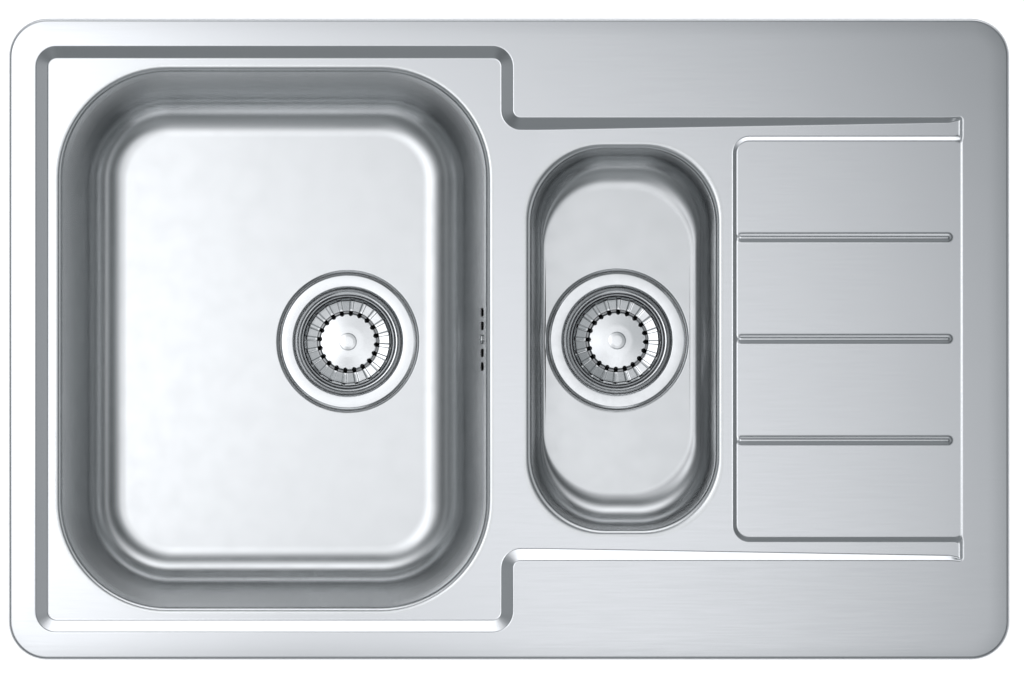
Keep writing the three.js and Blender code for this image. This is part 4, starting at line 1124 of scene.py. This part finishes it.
def hose_tree():
    tree, given = new_tree("corrugated_hose", Radius="Float", Groove="Float", Pitch="Float")
    curve = add(tree, "GeometryNodeMeshToCurve", {"Mesh": given["Geometry"]})[0]
    step_of = add(tree, "ShaderNodeMath", {0: given["Pitch"], 1: 10.0}, operation="DIVIDE")[0]
    fine = add(tree, "GeometryNodeResampleCurve", {"Curve": curve, "Length": step_of}, mode="LENGTH")[0]
    length = add(tree, "GeometryNodeSplineParameter")["Length"]
    share = add(tree, "ShaderNodeMath", {0: length, 1: given["Pitch"]}, operation="DIVIDE")[0]
    angle = add(tree, "ShaderNodeMath", {0: share, 1: 2 * math.pi}, operation="MULTIPLY")[0]
    wave = add(tree, "ShaderNodeMath", {0: angle}, operation="COSINE")[0]
    steep = add(tree, "ShaderNodeMapRange", {
        "Value": wave, "From Min": -0.55, "From Max": 0.55, "To Min": 0.0, "To Max": 1.0},
        interpolation_type="SMOOTHSTEP")[0]
    drop = add(tree, "ShaderNodeMath", {0: steep, 1: given["Groove"]}, operation="MULTIPLY")[0]
    radius = add(tree, "ShaderNodeMath", {0: given["Radius"], 1: drop}, operation="SUBTRACT")[0]
    circle = add(tree, "GeometryNodeCurvePrimitiveCircle", {"Resolution": 40, "Radius": 1.0})[0]
    swept = add(tree, "GeometryNodeCurveToMesh", {"Curve": fine, "Profile Curve": circle, "Scale": radius})[0]
    real = add(tree, "GeometryNodeRealizeInstances", {"Geometry": swept})[0]
    painted = add(tree, "GeometryNodeSetMaterial", {"Geometry": real, "Material": given["Finish"]})[0]
    add(tree, "NodeGroupOutput", {"Geometry": painted})
    return tree


line = bpy.data.meshes.new("hose_line")
path = hose_line()
line.from_pydata([tuple(p / 1000) for p in path], [(k, k + 1) for k in range(len(path) - 1)], [])
hose = with_nodes("hose", line, hose_tree(), HOSE_WALL, Radius=HOSE / 1000, Groove=HOSE_GROOVE / 1000,
                  Pitch=HOSE_PITCH / 1000, Finish=GREY_PLASTIC)
piece("overflow_hose", "corrugated", outward(hose), GREY_PLASTIC, sharp=60)


# %% [markdown]
# ## Rim seal and bowl pad
#
# The seal is a strip of foam under the rim, squeezed flat where it meets the worktop. The pad
# under the main bowl damps the noise of water. Both follow an outline with a section whose
# corners are rounded: the seal's section is closed, and the pad's runs from its top to its bottom.

# %% Foam
PAD_GAP, PAD_LONG, PAD_HALF, PAD_THICK = 20.0, 90.0, 105.0, 3.0


def loops_of(corners, where, section):
    """The contours of an outline, one for each (inset, height) of a section."""
    return [at_height(contour(corners, where, inset), z) for inset, z in section]


top = RIM - SHEET - GAP
seal = loops_of(OUTLINE, stations(OUTLINE, 12, 12.0),
                softened([(1.6, 0.0), (8.0, 0.0), (8.0, top), (1.6, top)], 0.9))
piece("rim_seal", "strip", solid(rows([*seal, seal[0]])), FOAM, sharp=50)
top, pad_right = MAIN_FLOOR - SHEET - GAP, MAIN_WASTE - RECESS - PAD_GAP
pad_line = box_corners(pad_right - PAD_LONG, pad_right, PAD_HALF, 3.0)
section = [(-0.001, top), (0.0, top), (0.0, top - PAD_THICK), (2.0, top - PAD_THICK)]
pad = loops_of(pad_line, stations(pad_line, 6, 10.0), softened(section, [0, 0.3, 1.0, 0], closed=False))
piece("main_bowl_pad", "sheet", solid(capped(pad)), FOAM, sharp=50)


# %% [markdown]
# ## Clamps and overflow parts
#
# The clamps' lugs, claws and washers and the overflow's housing and gasket have the right shape
# in the CAD model, but their edges are perfectly sharp. Each gets a copy whose facets are
# joined again and whose edges are bevelled, so that they catch a line of light as bent and
# stamped steel does.

# %% Bevelled copies, and the clamp screws
def edged(node, how, finish, body, width, sharp=32):
    """A finished copy of a CAD node with bevelled edges."""
    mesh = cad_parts[node].data.copy()
    bm = bmesh.new()
    bm.from_mesh(mesh)
    bmesh.ops.remove_doubles(bm, verts=bm.verts, dist=1e-6)
    bmesh.ops.dissolve_limit(bm, angle_limit=math.radians(1), verts=bm.verts, edges=bm.edges)
    holder = linked("holder", mesh_of(bm, mesh))
    bevel = holder.modifiers.new("bevel", "BEVEL")
    bevel.width, bevel.segments, bevel.limit_method = width / 1000, 2, "ANGLE"
    bevel.angle_limit, bevel.use_clamp_overlap = math.radians(38), True
    piece(node, how, baked(holder), finish, body, sharp)


NUT_TOP, HEAD_TOP, HEAD_RADIUS, SCREW_BACK = -19.0, -46.0, 5.6, 29.0
CLAMPS = [(-190, 250, 90), (190, 250, 90), (390, 0, 0), (190, -250, -90), (-190, -250, -90), (-390, 0, 180)]


def clamp_screw(name, x, y, turn):
    angle = math.radians(turn)
    centre = (x - SCREW_BACK * math.cos(angle), y - SCREW_BACK * math.sin(angle), 0)
    top, low = NUT_TOP + 2, HEAD_TOP - 0.5
    profile = [(0, top), (SCREW - 0.6, top), *climb(SCREW, top - 0.8, low, 1.0), (0, low)]
    shaft = turned(profile, 24, closed=False, centre=centre, ripple=thread(SCREW, low, top, 1.0, 0.55))
    sixths = [k * math.pi / 3 for k in range(6)]
    hexagon = softened([(math.cos(a) * HEAD_RADIUS, math.sin(a) * HEAD_RADIUS) for a in sixths], 0.5, 2)
    levels = [(0.93, HEAD_TOP - 4.0), (1.0, HEAD_TOP - 3.6), (1.0, HEAD_TOP - 0.4), (0.95, HEAD_TOP)]
    head = capped([at_height(hexagon * share, z) + np.array(centre) for share, z in levels])
    piece(f"{name}_screw", "threaded", solid(shaft, head), ZINC, f"{name}_screw_body")


for number, (x, y, turn) in enumerate(CLAMPS, 1):
    name = f"clamp_{number}"
    clamp_screw(name, x, y, turn)
    edged(f"{name}_lug", "bent", CUP_SATIN, "sink", 0.35)
    edged(f"{name}_washer", "stamped", ZINC, f"{name}_carrier", 0.25)
    edged(f"{name}_claw", "pressed", ZINC, f"{name}_claw_body", 0.4)
edged("overflow_housing", "moulded", WHITE_PLASTIC, "sink", 0.8, 40)
edged("overflow_gasket", "moulded", RUBBER, "sink", 0.3)

# %% [markdown]
# The overflow's screw has a pan head with a cross, seen from inside the bowl. It stands at a
# right angle to the bowl's wall, which leans by eight degrees.

# %% The overflow's screw
front = -SHEET - GAP
head = softened([(0, front - 2.2), (2.4, front - 2.1), (3.9, front - 0.9), (3.9, front), (2.2, front),
                 (2.2, 18.0), (0, 19.0)], [0, 2.0, 0.8, 0.2, 0.2, 0.5, 0], closed=False)
screw = solid(turned(head, 40, closed=False))
for turn in (0, QUARTER):
    screw = carved(screw, slot_tool(0.9, -2.0, 2.0, front - 3.5, front - 1.1, turn))
screw.transform(Matrix.Translation(Vector(WALL_BACK / 1000)) @ Matrix.Rotation(DRAFT + QUARTER, 4, "Y"))
piece("overflow_screw", "turned", screw, POLISHED)

# %% [markdown]
# ## Studio and light
#
# A satin metal object is lit by what it reflects. Here that is one tent over the sink, whose
# glow is painted on its points by direction. Its ceiling is brighter over the bowls than over the
# drainer. Each of its four sides has a brightness that changes with the height, and the one
# behind the sink holds a soft box. The bands between them are dark.

# %% The tent's glow
TENT_RADIUS, CEILING = 1.7, 1.6

# The ceiling's brightness by its place in metres: across from the bowls' side to the drainer's,
# and along from front to back over the bowls, beyond the bowls and over the drainer.
ACROSS = ([-1.2, -0.9, -0.67, -0.45, -0.36, -0.28, -0.2, 0.0, 0.12, 0.25, 0.37, 0.6, 0.9],
          [1.2, 2.0, 2.5, 2.6, 2.2, 1.68, 1.4, 1.36, 1.28, 1.05, 0.78, 0.52, 0.28])
ALONG_BOWLS = ([-1.2, -0.75, -0.45, -0.33, -0.24, -0.14, 0.0, 0.14, 0.24, 0.35, 0.55, 0.75, 1.2],
               [0.28, 0.3, 0.46, 0.66, 0.7, 0.9, 1.0, 0.91, 0.8, 0.8, 0.5, 0.28, 0.2])
ALONG_FAR = ([-1.2, -0.6, -0.3, -0.1, 0.1, 0.4, 0.6, 0.9], [0.15, 0.22, 0.5, 0.85, 1.0, 0.95, 0.6, 0.35])
ALONG_DRAINER = ([-1.2, -0.8, -0.6, -0.45, -0.32, -0.24, 0.0, 0.14, 0.21, 0.3, 0.45, 0.8, 1.2],
                 [0.28, 0.33, 0.42, 0.68, 1.08, 1.1, 0.96, 0.9, 0.84, 0.68, 0.56, 0.24, 0.16])
# The sides' brightness by their height in degrees, for the right, left, front and back.
SIDES = {
    (1, 0): ([0, 4, 10, 16, 22, 30, 38, 46, 55], [0.2, 0.4, 0.7, 0.7, 0.65, 0.8, 0.4, 0.15, 0.14]),
    (-1, 0): ([0, 4, 10, 16, 20, 25, 30, 35, 45, 55], [0.2, 0.4, 0.7, 0.7, 0.55, 0.56, 0.3, 0.16, 0.42, 0.8]),
    (0, -1): ([0, 4, 10, 16, 22, 28, 35, 45, 55], [0.2, 0.4, 0.7, 0.6, 0.35, 0.28, 0.36, 0.44, 0.44]),
    (0, 1): ([0, 4, 10, 18, 24, 30, 35, 40, 46, 52], [0.2, 0.4, 0.7, 0.9, 1.9, 2.3, 1.8, 1.3, 0.7, 0.3]),
}


def smooth(low, high, value):
    t = np.clip((value - low) / (high - low), 0, 1)
    return t * t * (3 - 2 * t)


def glow(direction):
    """How bright the tent is in a direction, from 0 for dark to about 2.6."""
    x, y, z = direction.T
    height = np.degrees(np.arcsin(np.clip(z, -1, 1)))
    flat = np.maximum(np.hypot(x, y), 1e-6)
    u, v = (CEILING * value / np.maximum(z, 0.2) for value in (x, y))
    drainer, far = smooth(-0.15, 0.1, u), smooth(0.48, 0.7, -u)
    ceiling = np.interp(u, *ACROSS) * (
        np.interp(v, *ALONG_BOWLS) * (1 - drainer - far) + np.interp(v, *ALONG_DRAINER) * drainer
        + np.interp(v, *ALONG_FAR) * far)
    sharp = np.interp(height, [16, 26], [2.0, 3.0])
    sides = sum(np.maximum((x * ax + y * ay) / flat, 0) ** sharp * np.interp(height, *table)
                for (ax, ay), table in SIDES.items())
    share = smooth(48, 60, height)
    return ceiling * share + sides * (1 - share)


def emptied(owner):
    """The node tree of a material or a world, with nothing in it."""
    owner.use_nodes = True
    owner.node_tree.nodes.clear()
    return owner.node_tree


def tent():
    bm = bmesh.new()
    bmesh.ops.create_uvsphere(bm, u_segments=144, v_segments=96, radius=TENT_RADIUS)
    bmesh.ops.delete(bm, geom=[v for v in bm.verts if v.co.z < -0.01], context="VERTS")
    mesh = mesh_of(bm, bpy.data.meshes.new("tent"))
    directions = np.array([v.co for v in mesh.vertices]) / TENT_RADIUS
    values = glow(directions).astype(np.float32)
    mesh.attributes.new("glow", "FLOAT", "POINT").data.foreach_set("value", values)
    cloth = bpy.data.materials.new("studio_tent_light")
    tree = emptied(cloth)
    amount = add(tree, "ShaderNodeAttribute", attribute_name="glow")["Fac"]
    pair = {0: amount, 6: linear("#E4EDF2"), 7: linear("#FBFCFF")}
    tint = add(tree, "ShaderNodeMix", pair, data_type="RGBA")[2]
    light = add(tree, "ShaderNodeEmission", {"Color": tint, "Strength": amount})[0]
    add(tree, "ShaderNodeOutputMaterial", {"Surface": light})
    mesh.materials.append(cloth)
    made = linked("studio_tent", mesh)
    made.visible_camera = made.visible_shadow = False
    made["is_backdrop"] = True
    print("tent points", len(mesh.vertices))


tent()


# %% [markdown]
# ## Floor and camera
#
# The floor is a sheet of white paper. Seen straight on or in a reflection it glows as well, so it
# looks as white as in a picture that was cut out, but the light it throws on other things is that
# of plain paper, and the sink still has its shadow on it. The photograph looks down through a very
# long lens, so the camera stands twelve metres up. It is 0.16 m towards the front and tilted to
# look at the middle.

# %% Floor, world and camera
CENTRE, HEIGHT, WIDE, ASIDE, SENSOR = (0.0022, -0.0024), 12.0, 0.7976, 0.16, 36.0


def floor():
    bm = bmesh.new()
    bmesh.ops.create_grid(bm, x_segments=1, y_segments=1, size=60)
    mesh = mesh_of(bm, bpy.data.meshes.new("floor"))
    mesh.transform(Matrix.Translation((0, 0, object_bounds()[0][2] - 0.001)))
    paper = bpy.data.materials.new("white_paper_floor")
    tree = emptied(paper)
    rays = add(tree, "ShaderNodeLightPath")
    seen = add(tree, "ShaderNodeMath", {0: rays["Is Camera Ray"], 1: rays["Is Glossy Ray"]}, operation="ADD")[0]
    seen = add(tree, "ShaderNodeMath", {0: seen, 1: rays["Is Transmission Ray"]}, operation="ADD",
               use_clamp=True)[0]
    matt = add(tree, "ShaderNodeBsdfDiffuse", {"Color": linear("#E8E8E8")})[0]
    bright = add(tree, "ShaderNodeEmission", {"Color": (1, 1, 1, 1), "Strength": 0.75})[0]
    both = add(tree, "ShaderNodeAddShader", {0: matt, 1: bright})[0]
    either = add(tree, "ShaderNodeMixShader", {0: seen, 1: matt, 2: both})[0]
    add(tree, "ShaderNodeOutputMaterial", {"Surface": either})
    mesh.materials.append(paper)
    linked("studio_floor", mesh)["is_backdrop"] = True


floor()
scene = bpy.context.scene
scene.world = bpy.data.worlds.new("studio")
tree = emptied(scene.world)
pale = add(tree, "ShaderNodeBackground", {"Color": (1, 1, 1, 1), "Strength": 1.0})[0]
add(tree, "ShaderNodeOutputWorld", {"Surface": pale})
scene.view_settings.view_transform = "Standard"

camera = linked("camera", bpy.data.cameras.new("camera"))
reach = HEIGHT - RIM / 1000
camera.location = (CENTRE[0], CENTRE[1] - ASIDE, HEIGHT)
camera.rotation_euler.x = math.atan(ASIDE / reach)
camera.data.sensor_width, camera.data.lens, camera.data.clip_end = SENSOR, SENSOR * reach / WIDE, 100.0
scene.camera = camera
print("lens", round(camera.data.lens, 1), "mm")
